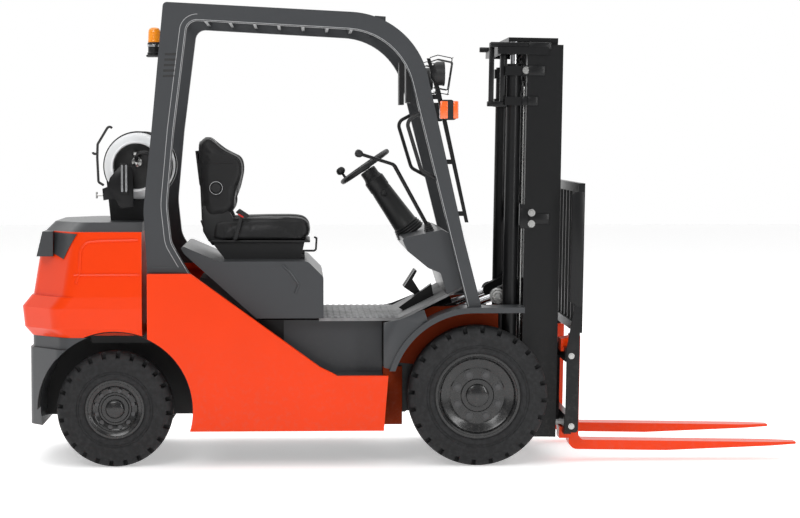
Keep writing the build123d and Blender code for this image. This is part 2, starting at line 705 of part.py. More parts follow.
# Hydraulic levers on the cowl and pedals on the toe board
LEVER_RADIUS = 8.0
LEVER_YS = (-250.0, -300.0, -350.0)
KNOB_ROWS = ((-18, 9), (-8, 18), (8, 19), (18, 9))
KNOB_SIDES = 12
LEVER_FOOT = 140.0
BOOT_HEIGHT = 45.0
BOOT_RADIUS = 22.0
BOOT_TOP_RADIUS = 12.0
BOOT_DEPTH = 14.0
lever_bend, lever_end = ahead((-380, 1396), (-545, 1448))
with BuildPart() as levers:
    for y in LEVER_YS:
        foot = tuple(COWL_LID.from_local_coords((LEVER_FOOT, y, BOOT_DEPTH)))
        bend = (lever_bend[0], y, lever_bend[1])
        end = (lever_end[0], y, lever_end[1])
        boot_base = Plane(COWL_LID.location * Pos(LEVER_FOOT, y, 0))
        turned(boot_base, [(0, BOOT_RADIUS), (BOOT_HEIGHT, BOOT_TOP_RADIUS)], BAR_SIDES)
        round_bar(foot, bend, LEVER_RADIUS)
        round_bar(bend, end, LEVER_RADIUS)
        turned(Plane(origin=end, z_dir=Vector(*end) - Vector(*bend)), KNOB_ROWS, KNOB_SIDES)
save(levers, "levers")

PEDAL_WIDTH = 70.0
with BuildPart() as pedals:
    for y, width in ((0, PEDAL_WIDTH), (110, PEDAL_WIDTH)):
        with BuildSketch(side_plane(y + width / 2)):
            outline(ahead((-322, 800), (-268, 884), (-258, 878), (-280, 838), (-224, toe_height(-224)),
                          (-238, toe_height(-238)), (-312, 794)))
        extrude(amount=width)
    with BuildSketch(side_plane(-100)):
        outline(ahead((-330, toe_height(-330)), (-352, 712), (-196, 824), (-186, toe_height(-186))))
    extrude(amount=PEDAL_WIDTH)
save(pedals, "pedals")

# Overhead guard: two bent side frames, joined by roof bars
GUARD_IN = GUARD_HALF_WIDTH - GUARD_TUBE_WIDTH
ROOF_REAR_Z = 2146.0
ROOF_BEAM = 78.0
PILLAR_WIDTH = 62.0
FRONT_BEND = 380.0
REAR_FOOT_Z = 893.0
ROOF_SLOPE = -0.0513
ROOF_REAR_X = 231.0


def roof_height(x):
    """Height of the guard's top edge at a distance x ahead of the rear axle."""
    return ROOF_REAR_Z + (x - ROOF_REAR_X) * ROOF_SLOPE


corner_x = WHEELBASE - 294
guard_outline = (
    astern((ROOF_REAR_X, roof_height(ROOF_REAR_X)), (corner_x, roof_height(corner_x)))
    + ahead(
        (-62, 1050),
        (18, FENDER_TOP),
        (-46, FENDER_TOP),
        (-62 - PILLAR_WIDTH, 1050),
    )
    + astern(
        (corner_x - PILLAR_WIDTH - 6, roof_height(corner_x) - ROOF_BEAM),
        (342, roof_height(342) - ROOF_BEAM),
        (278, 1558),
        (246, 1211),
        (264, 1040),
        (349, REAR_FOOT_Z),
        (153, REAR_FOOT_Z),
        (136, 1188),
        (175, 1558),
    )
)
guard_radii = [20, FRONT_BEND, 60, 0, 0, 60, FRONT_BEND - 60, 50, 300, 300, 120, 0, 0, 300, 300]
guards = []
for side_name, side in SIDES:
    with BuildPart() as guard:
        with BuildSketch(side_plane(GUARD_HALF_WIDTH if side > 0 else -GUARD_IN)):
            outline(guard_outline, radius=guard_radii)
        extrude(amount=GUARD_TUBE_WIDTH)
    save(guard, f"guard_{side_name}")
    guards.append(guard.part)

ROOF_BARS = 8
ROOF_BAR_THICKNESS = 14.0
ROOF_BAR_DEPTH = 52.0
HEADER_FRONT_X = WHEELBASE - 409
HEADER_LENGTH = 66.0
with BuildPart() as guard_roof:
    first = ROOF_REAR_X + 40
    pitch = (HEADER_FRONT_X - HEADER_LENGTH - first) / ROOF_BARS
    for count in range(ROOF_BARS):
        x = first + pitch * count
        top = roof_height(x) - 8
        with BuildSketch(side_plane(GUARD_IN)):
            outline(
                astern(
                    (x, top), (x + ROOF_BAR_THICKNESS, top),
                    (x + ROOF_BAR_THICKNESS + 12, top - ROOF_BAR_DEPTH), (x + 12, top - ROOF_BAR_DEPTH),
                )
            )
        extrude(amount=2 * GUARD_IN)
    with BuildSketch(side_plane(GUARD_IN)):
        outline(
            astern(
                (HEADER_FRONT_X - HEADER_LENGTH, roof_height(HEADER_FRONT_X - HEADER_LENGTH) - 10),
                (HEADER_FRONT_X - 16, roof_height(HEADER_FRONT_X) - 10),
                (HEADER_FRONT_X - 16, roof_height(HEADER_FRONT_X) - 50),
                (HEADER_FRONT_X - HEADER_LENGTH, roof_height(HEADER_FRONT_X) - 60),
            )
        )
    extrude(amount=2 * GUARD_IN)
save(guard_roof, "guard_roof")

# Lamp stays in front of the front pillars, with work lamps, turn signals and mirrors
PILLAR_RAKE = (-186 + 62) / (1602 - 1050)
STAY_GAP = 22.0
STAY_THICKNESS = 16.0
STAY_IN = GUARD_HALF_WIDTH - 34.0
STAY_OUT = GUARD_HALF_WIDTH - 14.0


def pillar_front(z):
    """Distance of the front pillar's leading edge ahead of the front axle at a height z."""
    return -62 + (z - 1050) * PILLAR_RAKE


STAY_TOP = 1740.0
STAY_FOOT = 1130.0
LAMP_Z = 1819.0
LAMP_RADIUS = 56.0
LAMP_FRONT = -153.0
LAMP_BACK = -220.0
with BuildPart() as lamp_stays:
    with BuildSketch(side_plane(STAY_OUT)):
        outline(
            ahead(
                (pillar_front(STAY_FOOT) + STAY_GAP, STAY_FOOT),
                (pillar_front(STAY_TOP) + STAY_GAP, STAY_TOP),
                (LAMP_BACK - STAY_THICKNESS, LAMP_Z + 70),
                (LAMP_BACK, LAMP_Z + 70),
                (pillar_front(STAY_TOP) + STAY_GAP + STAY_THICKNESS + 6, STAY_TOP),
                (pillar_front(STAY_FOOT) + STAY_GAP + STAY_THICKNESS, STAY_FOOT),
            )
        )
        for z in (STAY_FOOT + 30, 1400.0, STAY_TOP - 40):
            outline(
                ahead(
                    (pillar_front(z), z), (pillar_front(z) + STAY_GAP + 4, z),
                    (pillar_front(z + 22) + STAY_GAP + 4, z + 22), (pillar_front(z + 22), z + 22),
                )
            )
    extrude(amount=STAY_OUT - STAY_IN)
    mirror(about=Plane.XZ)
    add(guards, mode=Mode.SUBTRACT)
save(lamp_stays, "lamp_stays")

LAMP_Y = (STAY_IN + STAY_OUT) / 2
lamp_rows = (
    (LAMP_BACK, 26), (LAMP_BACK + 22, LAMP_RADIUS), (LAMP_FRONT - 10, LAMP_RADIUS), (LAMP_FRONT, LAMP_RADIUS - 8),
)
with BuildPart() as work_lamps:
    for _, side in SIDES:
        lamp_plane = Plane(origin=(FRONT_X, side * LAMP_Y, LAMP_Z), x_dir=(0, 1, 0), z_dir=(1, 0, 0))
        turned(lamp_plane, lamp_rows, CAP_SIDES)
    add(lamp_stays.part, mode=Mode.SUBTRACT)
save(work_lamps, "work_lamps")

SIGNAL_Z = 1651.0
SIGNAL_HEIGHT = 94.0
SIGNAL_WIDTH = 70.0
signal_back = pillar_front(SIGNAL_Z) + STAY_GAP + STAY_THICKNESS + 8
with BuildPart() as turn_signals:
    for _, side in SIDES:
        middle = side * LAMP_Y
        with BuildSketch(side_plane(middle + SIGNAL_WIDTH / 2)):
            outline(
                ahead(
                    (signal_back, SIGNAL_Z - SIGNAL_HEIGHT / 2),
                    (signal_back - 20, SIGNAL_Z + SIGNAL_HEIGHT / 2),
                    (signal_back + 38, SIGNAL_Z + SIGNAL_HEIGHT / 2),
                    (signal_back + 58, SIGNAL_Z - SIGNAL_HEIGHT / 2),
                ),
                radius=[6, 6, 18, 18],
            )
        extrude(amount=SIGNAL_WIDTH)
    add(lamp_stays.part, mode=Mode.SUBTRACT)
save(turn_signals, "turn_signals")

MIRROR_Z = 1790.0
MIRROR_WIDTH = 150.0
MIRROR_HEIGHT = 210.0
with BuildPart() as mirrors:
    for _, side in SIDES:
        mirror_y = sorted((side * (GUARD_IN - 22), side * (GUARD_IN - 22 - MIRROR_WIDTH)))
        arm_y = sorted((side * GUARD_IN, side * (GUARD_IN - 40)))
        block(
            (FRONT_X - 330, FRONT_X - 306), mirror_y,
            (MIRROR_Z - MIRROR_HEIGHT / 2, MIRROR_Z + MIRROR_HEIGHT / 2),
        )
        block((FRONT_X - 306, FRONT_X - 292), arm_y, (MIRROR_Z - 10, MIRROR_Z + 10))
save(mirrors, "mirrors")

# Assist grips, double bars on the back of the front pillars
GRIP_RADIUS = 9.0
GRIP_OUT = 74.0
GRIP_LOW = 1330.0
GRIP_HIGH = 1640.0


def pillar_back(z):
    """Distance of the front pillar's rear edge ahead of the front axle at a height z."""
    return pillar_front(z) - PILLAR_WIDTH


grip_path = ahead(
    (pillar_back(GRIP_LOW), GRIP_LOW),
    (pillar_back(GRIP_LOW) - GRIP_OUT, GRIP_LOW + 40),
    (pillar_back(GRIP_HIGH) - GRIP_OUT, GRIP_HIGH - 40),
    (pillar_back(GRIP_HIGH), GRIP_HIGH),
)
with BuildPart() as assist_grips:
    for _, side in SIDES:
        grip_y = side * (GUARD_IN + GUARD_TUBE_WIDTH / 2)
        with BuildLine(side_plane(grip_y)) as grip_line:
            FilletPolyline(*grip_path, radius=38)
        with BuildSketch(Plane(origin=grip_line.line @ 0, z_dir=grip_line.line % 0)):
            RegularPolygon(GRIP_RADIUS, BAR_SIDES)
        sweep(path=grip_line.line)
    add(guards, mode=Mode.SUBTRACT)
save(assist_grips, "assist_grips")

# Beacon on a shelf behind the right rear pillar
BEACON_X = 183.0
BEACON_Y = -400.0
BEACON_FOOT = 1904.0
with BuildPart() as beacon:
    beacon_base = Plane(origin=(REAR_X + BEACON_X, BEACON_Y, BEACON_FOOT))
    turned(beacon_base, ((0, 33), (50, 33), (62, 28), (66, 30), (112, 28), (130, 16)), CAP_SIDES)
    block(
        (REAR_X + BEACON_X - 33, REAR_X + BEACON_X + 60), (-GUARD_IN, BEACON_Y + 34),
        (BEACON_FOOT - 8, BEACON_FOOT),
    )
save(beacon, "beacon")

# Gas tank across the truck on its bracket
TANK_X = 92.0
TANK_Z = 1389.0
TANK_RADIUS = 158.0
STRAP_FIT = 0.6
TANK_HALF = 350.0
TANK_COLLAR = 62.0
SADDLE_Y = 190.0
STRAP_WIDTH = 44.0
STRAP_THICKNESS = 6.0
tank_rows = [
    (-TANK_HALF, 120),
    (-TANK_HALF + 46, 128),
    (-TANK_HALF + 74, 150),
    (-TANK_HALF + 110, TANK_RADIUS - STRAP_FIT),
    (TANK_HALF - 110, TANK_RADIUS - STRAP_FIT),
    (TANK_HALF - 60, 150),
    (TANK_HALF - 18, 110),
    (TANK_HALF, 50),
]
with BuildPart() as gas_tank:
    tank_face = wheel_face(REAR_X + TANK_X, 0, TANK_Z)
    turned(tank_face, tank_rows, WHEEL_SIDES)
    turned(tank_face, [(-TANK_HALF - 1, 108), (-TANK_HALF + TANK_COLLAR, 108)], WHEEL_SIDES, Mode.SUBTRACT)
save(gas_tank, "gas_tank")

with BuildPart() as tank_bracket:
    for _, side in SIDES:
        with BuildSketch(side_plane(side * SADDLE_Y + STRAP_WIDTH / 2)):
            outline(
                astern(
                    (TANK_X - 130, COVER_TOP), (TANK_X - 150, TANK_Z - 60), (TANK_X + 150, TANK_Z - 60),
                    (TANK_X + 48, COVER_TOP + 40), (TANK_X + 48, COVER_TOP),
                )
            )
            with Locations(astern((TANK_X, TANK_Z))):
                Circle(TANK_RADIUS + STRAP_THICKNESS + TOUCH)
                Circle(TANK_RADIUS + TOUCH, mode=Mode.SUBTRACT)
        extrude(amount=STRAP_WIDTH)
    block(
        (REAR_X + TANK_X - 130, REAR_X + TANK_X + 48), (-SADDLE_Y, SADDLE_Y), (COVER_TOP, COVER_TOP + 26),
    )
save(tank_bracket, "tank_bracket")

# Hood over the engine, open below, with the seat on it
HOOD_WALL = 18.0
HOOD_FOOT = FLOOR_Z + TOUCH
hood_outline = (
    ahead((-714, HOOD_FOOT), (-714, 875), (-786, HOOD_TOP))
    + astern((481, HOOD_TOP), (320, 1016), (300, 1016), (320, 982))
    + ahead((-1027, HOOD_FOOT))
)
hood_inside = (
    ahead((-714 - HOOD_WALL, HOOD_FOOT - 50), (-714 - HOOD_WALL, 868), (-786 - 7, HOOD_TOP - HOOD_WALL))
    + astern((477, HOOD_TOP - HOOD_WALL), (340, 988), (340, 930))
    + ahead((-1027, HOOD_FOOT - 50))
)
HOOD_HINGE_X = 312.0
HOOD_HINGE_Z = 1000.0
HOOD_HINGE_Y = 300.0
HOOD_HINGE_RADIUS = 11.0
HOOD_HINGE_LENGTH = 90.0
with BuildPart() as hood:
    with BuildSketch(side_plane(HOOD_HALF_WIDTH)):
        outline(hood_outline, radius=[0, 24, 24, 60, 6, 6, 12, 0])
    extrude(amount=2 * HOOD_HALF_WIDTH)
    with BuildSketch(side_plane(HOOD_HALF_WIDTH - HOOD_WALL)):
        outline(hood_inside)
    extrude(amount=2 * (HOOD_HALF_WIDTH - HOOD_WALL), mode=Mode.SUBTRACT)
    for _, side in SIDES:
        with Locations(wheel_face(REAR_X + HOOD_HINGE_X, side * HOOD_HINGE_Y, HOOD_HINGE_Z).location):
            Cylinder(HOOD_HINGE_RADIUS, HOOD_HINGE_LENGTH)
save(hood, "hood")

SEAT_BASE_TOP = 1033.0
SEAT_HALF = 250.0
CUSHION_TOP = 1151.0
with BuildPart() as seat_base:
    with BuildSketch(side_plane(210)):
        outline(
            ahead(
                (-1180, HOOD_TOP), (-820, HOOD_TOP), (-800, SEAT_BASE_TOP), (-1230, SEAT_BASE_TOP),
                (-1230, 1012),
            )
        )
    extrude(amount=420)
save(seat_base, "seat_base")

with BuildPart() as seat_cushion:
    with BuildSketch(side_plane(SEAT_HALF)):
        outline(
            ahead((-1254, SEAT_BASE_TOP), (-770, SEAT_BASE_TOP), (-754, 1090), (-800, CUSHION_TOP), (-1254, 1124)),
            radius=[20, 16, 30, 40, 20],
        )
    extrude(amount=2 * SEAT_HALF)
save(seat_cushion, "seat_cushion")

with BuildPart() as seat_back:
    with BuildSketch(side_plane(SEAT_HALF - 10)):
        outline(
            ahead((-1284, 1128), (-1313, 1500), (-1262, 1545), (-1190, 1500), (-1110, 1380), (-1140, 1140)),
            radius=[10, 30, 30, 60, 60, 8],
        )
    extrude(amount=2 * (SEAT_HALF - 10))
    with BuildSketch(side_plane(60)):
        outline(
            ahead((-1284, 1012), (-1230, 1012), (-1230, 1032), (-1258, 1032), (-1258, 1140), (-1290, 1140)),
        )
    extrude(amount=120)
save(seat_back, "seat_back")

# Steering wheel with three spokes and a spinner knob
STEERING_RADIUS = 128.0
STEERING_GRIP = 13.0
STEERING_SIDES = 32
HUB_RADIUS = 34.0
HUB_HEIGHT = 30.0
WHEEL_PLANE = COLUMN_TOP.offset(1.0)
RIM_PLANE = WHEEL_PLANE.offset(HUB_HEIGHT * 0.6)
SPINNER = Plane(RIM_PLANE.location * Rot(0, 0, 150) * Pos(STEERING_RADIUS - 4, 0, 0))
half_flat = STEERING_GRIP * 0.414
rim_levels = (-STEERING_GRIP, -half_flat, half_flat, STEERING_GRIP)
rim_reach = (half_flat, STEERING_GRIP, STEERING_GRIP, half_flat)
with BuildPart() as steering_wheel:
    turned(RIM_PLANE, [(h, STEERING_RADIUS + r) for h, r in zip(rim_levels, rim_reach)], STEERING_SIDES)
    turned(
        RIM_PLANE, [(h, STEERING_RADIUS - r) for h, r in zip(rim_levels, rim_reach)], STEERING_SIDES,
        Mode.SUBTRACT,
    )
    turned(WHEEL_PLANE, [(0, HUB_RADIUS), (HUB_HEIGHT, HUB_RADIUS)], CAP_SIDES)
    with Locations(RIM_PLANE.location):
        with PolarLocations((HUB_RADIUS + STEERING_RADIUS) / 2, 3, start_angle=60):
            Box(STEERING_RADIUS - HUB_RADIUS + 8, 30, 10)
    turned(SPINNER, [(0, 6), (32, 6)], KNOB_SIDES)
    turned(SPINNER, [(28, 12), (38, 22), (58, 22), (68, 12)], KNOB_SIDES)
    with Locations(WHEEL_PLANE.offset(SHAFT_LENGTH / 2).location):
        Cylinder(SHAFT_RADIUS + BORE_FIT, SHAFT_LENGTH, mode=Mode.SUBTRACT)
save(steering_wheel, "steering_wheel")

# Mast, built upright in its own frame, which leans with it
RAIL_FRONT_X = RAIL_BACK + RAIL_DEPTH
INNER_BACK = RAIL_BACK + OUTER_FLANGE + RAIL_GAP
INNER_FRONT = RAIL_FRONT_X - OUTER_FLANGE - RAIL_GAP
INNER_OUTSIDE = MAST_HALF_WIDTH - OUTER_WEB - WEB_GAP
INNER_BOTTOM = RAIL_BOTTOM + RAIL_GAP
ROLLER_X = (INNER_BACK + INNER_FRONT) / 2
INNER_ROLLER_RADIUS = RAIL_DEPTH / 2 - OUTER_FLANGE - TOUCH
CARRIAGE_ROLLER_RADIUS = (INNER_FRONT - INNER_BACK) / 2 - INNER_FLANGE - TOUCH
TIE_BACK = LIFT_CYLINDER_X + LIFT_BARREL_RADIUS + 3
TIE_FRONT = RAIL_BACK + 2
CLAMP_HALF = LIFT_BARREL_RADIUS + 10
BAR_FRONT = FORK_FACE - FORK_THICKNESS - TOUCH
BAR_BACK = BAR_FRONT - BAR_THICKNESS


def mast_block(x_range, y_range, z_range, mode=Mode.ADD):
    """Add or cut a block that leans with the mast."""
    x, y, z = [(a + b) / 2 for a, b in (x_range, y_range, z_range)]
    size = [b - a for a, b in (x_range, y_range, z_range)]
    with Locations(MAST.location):
        with Locations((x - MAST_PIVOT_X, y, z - MAST_PIVOT_Z)):
            Box(*size, mode=mode)


def mast_posts(radius, x, y, bottom, top, mode=Mode.ADD):
    """Add or cut round posts on both sides, standing along the mast."""
    with BuildSketch(mast_level(bottom)) as rounds:
        with Locations((x - MAST_PIVOT_X, y), (x - MAST_PIVOT_X, -y)):
            Circle(radius)
    extrude(rounds.sketch, amount=top - bottom, mode=mode)


def mast_pins(radius, x, z, inside, outside):
    """Add round pins across the mast on both sides."""
    for y in (outside, -inside):
        with BuildSketch(mast_side(y)) as round_face:
            with Locations(on_mast((x, z))):
                Circle(radius)
        extrude(round_face.sketch, amount=outside - inside)


def channels(back, front, outside, web, flange, reach, bottom, top):
    """Two channel rails that open towards each other."""
    section = [
        (back, outside), (front, outside), (front, outside - reach), (front - flange, outside - reach),
        (front - flange, outside - web), (back + flange, outside - web), (back + flange, outside - reach),
        (back, outside - reach),
    ]
    with BuildSketch(mast_level(bottom)) as sections:
        for _, side in SIDES:
            outline([(x - MAST_PIVOT_X, side * y) for x, y in section])
    extrude(sections.sketch, amount=top - bottom)


def both_sides(inside, outside):
    """Y ranges of a pair of pieces, left and right."""
    return ((inside, outside), (-outside, -inside))


TIE_LEVELS = ((130, 330), (1110, 1210), (CHAIN_TIE_Z - 21, CHAIN_TIE_Z + 19))
CLAMP_LEVELS = ((CHAIN_TIE_Z - 21, CHAIN_TIE_Z + 19), (1815, 1860))
TOP_TIE = (1914, 1948)
FOOT_IN = TRUNNION_OUT + 1
FOOT_OUT = FOOT_IN + 22
CHEEK_GAP = 20.0
CHEEK = 12.0
with BuildPart() as mast_outer:
    channels(
        RAIL_BACK, RAIL_FRONT_X, MAST_HALF_WIDTH, OUTER_WEB, OUTER_FLANGE, OUTER_FLANGE_REACH,
        RAIL_BOTTOM, RAIL_TOP,
    )
    for z_range in TIE_LEVELS:
        mast_block((TIE_BACK, TIE_FRONT), (-MAST_HALF_WIDTH, MAST_HALF_WIDTH), z_range)
    clamp_y = both_sides(LIFT_CYLINDER_Y - CLAMP_HALF, LIFT_CYLINDER_Y + CLAMP_HALF)
    for y_range in clamp_y:
        mast_block((LIFT_CYLINDER_X - CLAMP_HALF, TIE_FRONT), y_range, (RAIL_BOTTOM, CYLINDER_SEAT))
        for z_range in CLAMP_LEVELS:
            mast_block((LIFT_CYLINDER_X - CLAMP_HALF, TIE_FRONT), y_range, z_range)
    for low, high in CLAMP_LEVELS:
        mast_posts(
            LIFT_BARREL_RADIUS + BORE_FIT, LIFT_CYLINDER_X, LIFT_CYLINDER_Y, low, high, mode=Mode.SUBTRACT,
        )
    for y_range in both_sides(MAST_HALF_WIDTH, MAST_HALF_WIDTH + OUTER_WEB):
        mast_block((LIFT_CYLINDER_X - 84, RAIL_FRONT_X - 70), y_range, TOP_TIE)
    top_tie_y = (-MAST_HALF_WIDTH - OUTER_WEB, MAST_HALF_WIDTH + OUTER_WEB)
    mast_block((LIFT_CYLINDER_X - 84, LIFT_CYLINDER_X - 58), top_tie_y, TOP_TIE)
    for y in (FOOT_OUT, -FOOT_IN):
        with BuildSketch(mast_side(y)):
            with Locations((0, 0)):
                Circle(TRUNNION_RADIUS)
            with Locations(on_mast((TIE_FRONT - 10, 300))):
                Rectangle(20, 200)
            make_hull()
        extrude(amount=FOOT_OUT - FOOT_IN)
    mast_pins(MAST_PIN_RADIUS, MAST_PIVOT_X, MAST_PIVOT_Z, TRUNNION_IN - 4, FOOT_OUT)
    for y_range in both_sides(TILT_CYLINDER_Y - CHEEK_GAP - CHEEK, MAST_HALF_WIDTH - OUTER_FLANGE_REACH + 10):
        mast_block((TIE_BACK, TIE_FRONT), y_range, (TILT_EYE_Z - 40, TILT_EYE_Z + 90))
    for inside in (TILT_CYLINDER_Y - CHEEK_GAP - CHEEK, TILT_CYLINDER_Y + CHEEK_GAP):
        for y in (inside + CHEEK, -inside):
            with BuildSketch(mast_side(y)):
                with Locations(on_mast((TILT_EYE_X, TILT_EYE_Z))):
                    Circle(34)
                with Locations(on_mast((TIE_FRONT - 10, TILT_EYE_Z + 25))):
                    Rectangle(20, 120)
                make_hull()
            extrude(amount=CHEEK)
    mast_pins(
        TILT_PIN_RADIUS, TILT_EYE_X, TILT_EYE_Z, TILT_CYLINDER_Y - CHEEK_GAP - CHEEK,
        TILT_CYLINDER_Y + CHEEK_GAP + CHEEK,
    )
    for y_range in both_sides(SHEAVE_Y - CHAIN_WIDTH / 2, SHEAVE_Y + CHAIN_WIDTH / 2):
        mast_block((TIE_FRONT - 2, SHEAVE_X - SHEAVE_RADIUS + 1), y_range, TIE_LEVELS[2])
save(mast_outer, "mast_outer")

BAR_CLEAR = 4.0
with BuildPart() as mast_inner:
    channels(
        INNER_BACK, INNER_FRONT, INNER_OUTSIDE, INNER_WEB, INNER_FLANGE, INNER_FLANGE_REACH, INNER_BOTTOM,
        CROSSHEAD_BOTTOM,
    )
    inner_y = (-INNER_OUTSIDE + INNER_FLANGE_REACH - 6, INNER_OUTSIDE - INNER_FLANGE_REACH + 6)
    for z_range in ((INNER_BOTTOM + 4, INNER_BOTTOM + 60), (1744, 1800)):
        mast_block((INNER_BACK + BAR_CLEAR, INNER_BACK + BAR_CLEAR + 16), inner_y, z_range)
    mast_block(
        (LIFT_CYLINDER_X - 30, INNER_FRONT), (-INNER_OUTSIDE - 6, INNER_OUTSIDE + 6),
        (CROSSHEAD_BOTTOM, CROSSHEAD_BOTTOM + CROSSHEAD_THICKNESS),
    )
    for middle in (SHEAVE_Y, -SHEAVE_Y):
        for side in (1, -1):
            cheek_y = sorted(
                (middle + side * (CHAIN_WIDTH / 2 + 4), middle + side * (CHAIN_WIDTH / 2 + 14)),
            )
            mast_block((SHEAVE_X - 24, SHEAVE_X + 24), cheek_y, (SHEAVE_Z - 24, CROSSHEAD_BOTTOM + 2))
    mast_pins(SHEAVE_RADIUS, SHEAVE_X, SHEAVE_Z, SHEAVE_Y - CHAIN_WIDTH / 2, SHEAVE_Y + CHAIN_WIDTH / 2)
    mast_pins(16, SHEAVE_X, SHEAVE_Z, SHEAVE_Y - CHAIN_WIDTH / 2 - 14, SHEAVE_Y + CHAIN_WIDTH / 2 + 14)
    mast_pins(INNER_ROLLER_RADIUS, ROLLER_X, 196, INNER_OUTSIDE + 2, INNER_OUTSIDE + WEB_GAP - 2)
    mast_pins(24, ROLLER_X, 196, INNER_OUTSIDE - 6, INNER_OUTSIDE + WEB_GAP - 2)
save(mast_inner, "mast_inner")

# Lift cylinders: barrels on the outer mast, rods under the inner mast's crosshead
with BuildPart() as lift_barrels:
    mast_posts(LIFT_BARREL_RADIUS, LIFT_CYLINDER_X, LIFT_CYLINDER_Y, CYLINDER_SEAT, LIFT_BARREL_TOP)
    mast_posts(
        LIFT_ROD_RADIUS + 4, LIFT_CYLINDER_X, LIFT_CYLINDER_Y, CYLINDER_SEAT + 20, LIFT_BARREL_TOP - 30,
        mode=Mode.SUBTRACT,
    )
    mast_posts(
        LIFT_ROD_RADIUS + BORE_FIT, LIFT_CYLINDER_X, LIFT_CYLINDER_Y, LIFT_BARREL_TOP - 30, LIFT_BARREL_TOP,
        mode=Mode.SUBTRACT,
    )
save(lift_barrels, "lift_barrels")

with BuildPart() as lift_rods:
    mast_posts(LIFT_ROD_RADIUS, LIFT_CYLINDER_X, LIFT_CYLINDER_Y, CYLINDER_SEAT + 70, CROSSHEAD_BOTTOM)
save(lift_rods, "lift_rods")

# Lift chains: a rear run from the outer mast's tie, and a front run over the sheave to the carriage
chain_inside = SHEAVE_RADIUS + TOUCH
chain_outside = chain_inside + CHAIN_THICKNESS
with BuildPart() as chains_rear:
    for y_range in both_sides(SHEAVE_Y - CHAIN_WIDTH / 2, SHEAVE_Y + CHAIN_WIDTH / 2):
        mast_block(
            (SHEAVE_X - chain_outside, SHEAVE_X - chain_inside), y_range, (CHAIN_TIE_Z + 19, SHEAVE_Z),
        )
save(chains_rear, "chains_rear")

with BuildPart() as chains_front:
    for y in (SHEAVE_Y + CHAIN_WIDTH / 2, -SHEAVE_Y + CHAIN_WIDTH / 2):
        with BuildSketch(mast_side(y)):
            with Locations(on_mast((SHEAVE_X, SHEAVE_Z))):
                Circle(chain_outside)
                Circle(chain_inside, mode=Mode.SUBTRACT)
                Rectangle(
                    4 * chain_outside, 2 * chain_outside, align=(Align.CENTER, Align.MAX),
                    mode=Mode.SUBTRACT,
                )
        extrude(amount=CHAIN_WIDTH)
    for y_range in both_sides(SHEAVE_Y - CHAIN_WIDTH / 2, SHEAVE_Y + CHAIN_WIDTH / 2):
        mast_block(
            (SHEAVE_X + chain_inside, SHEAVE_X + chain_outside), y_range, (CHAIN_ANCHOR_Z + TOUCH, SHEAVE_Z),
        )
save(chains_front, "chains_front")

# Carriage: two fork bars on a pair of roller plates that run in the inner mast
PLATE_OUT = INNER_OUTSIDE - INNER_FLANGE_REACH - 8
PLATE_IN = PLATE_OUT - 20
PLATE_BOTTOM = 186.0
ROLLER_PIN_RADIUS = 20.0
PLATE_TOP = 490.0
half_carriage = CARRIAGE_WIDTH / 2
with BuildPart() as carriage:
    for z_range in ((LOWER_BAR_BOTTOM, LOWER_BAR_TOP), (UPPER_BAR_BOTTOM, UPPER_BAR_TOP)):
        mast_block((BAR_BACK, BAR_FRONT), (-half_carriage, half_carriage), z_range)
    for y_range in both_sides(PLATE_IN, PLATE_OUT):
        mast_block((INNER_BACK + 26, BAR_BACK + 2), y_range, (PLATE_BOTTOM, PLATE_TOP))
    for z in (PLATE_BOTTOM + 56, PLATE_TOP - 80):
        mast_pins(CARRIAGE_ROLLER_RADIUS, ROLLER_X, z, PLATE_OUT + 18, INNER_OUTSIDE - INNER_WEB - 2)
        mast_pins(ROLLER_PIN_RADIUS, ROLLER_X, z, PLATE_OUT - 4, PLATE_OUT + 20)
    mast_block(
        (SHEAVE_X + chain_inside - 8, SHEAVE_X + chain_outside + 30), (-PLATE_OUT + 4, PLATE_OUT - 4),
        (CHAIN_ANCHOR_Z - 40, CHAIN_ANCHOR_Z),
    )
    for y_range in both_sides(CHAIN_WIDTH, CHAIN_WIDTH + 60):
        mast_block((BAR_BACK - 14, BAR_BACK + 2), y_range, (LOWER_BAR_TOP - 46, UPPER_BAR_BOTTOM + 30))
save(carriage, "carriage")

# Load backrest: side plates on the bar ends, with a frame of upright bars
BACKREST_FOOT = FORK_SHANK_TOP + 18
BACKREST_BARS = 6
BACKREST_TUBE = 30.0
BACKREST_FRONT = FORK_FACE - 4
SIDE_PLATE = 12.0
with BuildPart() as backrest:
    for y in (half_carriage + SIDE_PLATE, -half_carriage):
        with BuildSketch(mast_side(y)):
            outline(
                on_mast(
                    (BAR_BACK + 4, LOWER_BAR_BOTTOM + 8), (BACKREST_FRONT - 10, LOWER_BAR_BOTTOM + 8),
                    (BACKREST_FRONT - 10, BACKREST_FOOT + 137), (BAR_BACK + 40, BACKREST_FOOT + 137),
                    (BAR_BACK + 4, UPPER_BAR_TOP),
                ),
                radius=[16, 16, 16, 16, 40],
            )
        extrude(amount=SIDE_PLATE)
    for z_range in ((BACKREST_FOOT, BACKREST_FOOT + 40), (BACKREST_TOP - 42, BACKREST_TOP)):
        mast_block(
            (BACKREST_FRONT - BACKREST_TUBE, BACKREST_FRONT),
            (-half_carriage - SIDE_PLATE, half_carriage + SIDE_PLATE), z_range,
        )
    for y_range in both_sides(half_carriage + SIDE_PLATE - 34, half_carriage + SIDE_PLATE):
        mast_block(
            (BACKREST_FRONT - BACKREST_TUBE, BACKREST_FRONT), y_range, (BACKREST_FOOT, BACKREST_TOP),
        )
    bar_pitch = (CARRIAGE_WIDTH - 44) / (BACKREST_BARS + 1)
    for count in range(BACKREST_BARS):
        y = (count - (BACKREST_BARS - 1) / 2) * bar_pitch
        mast_block(
            (BACKREST_FRONT - 22, BACKREST_FRONT - 6), (y - 12, y + 12),
            (BACKREST_FOOT + 20, BACKREST_TOP - 20),
        )
save(backrest, "backrest")

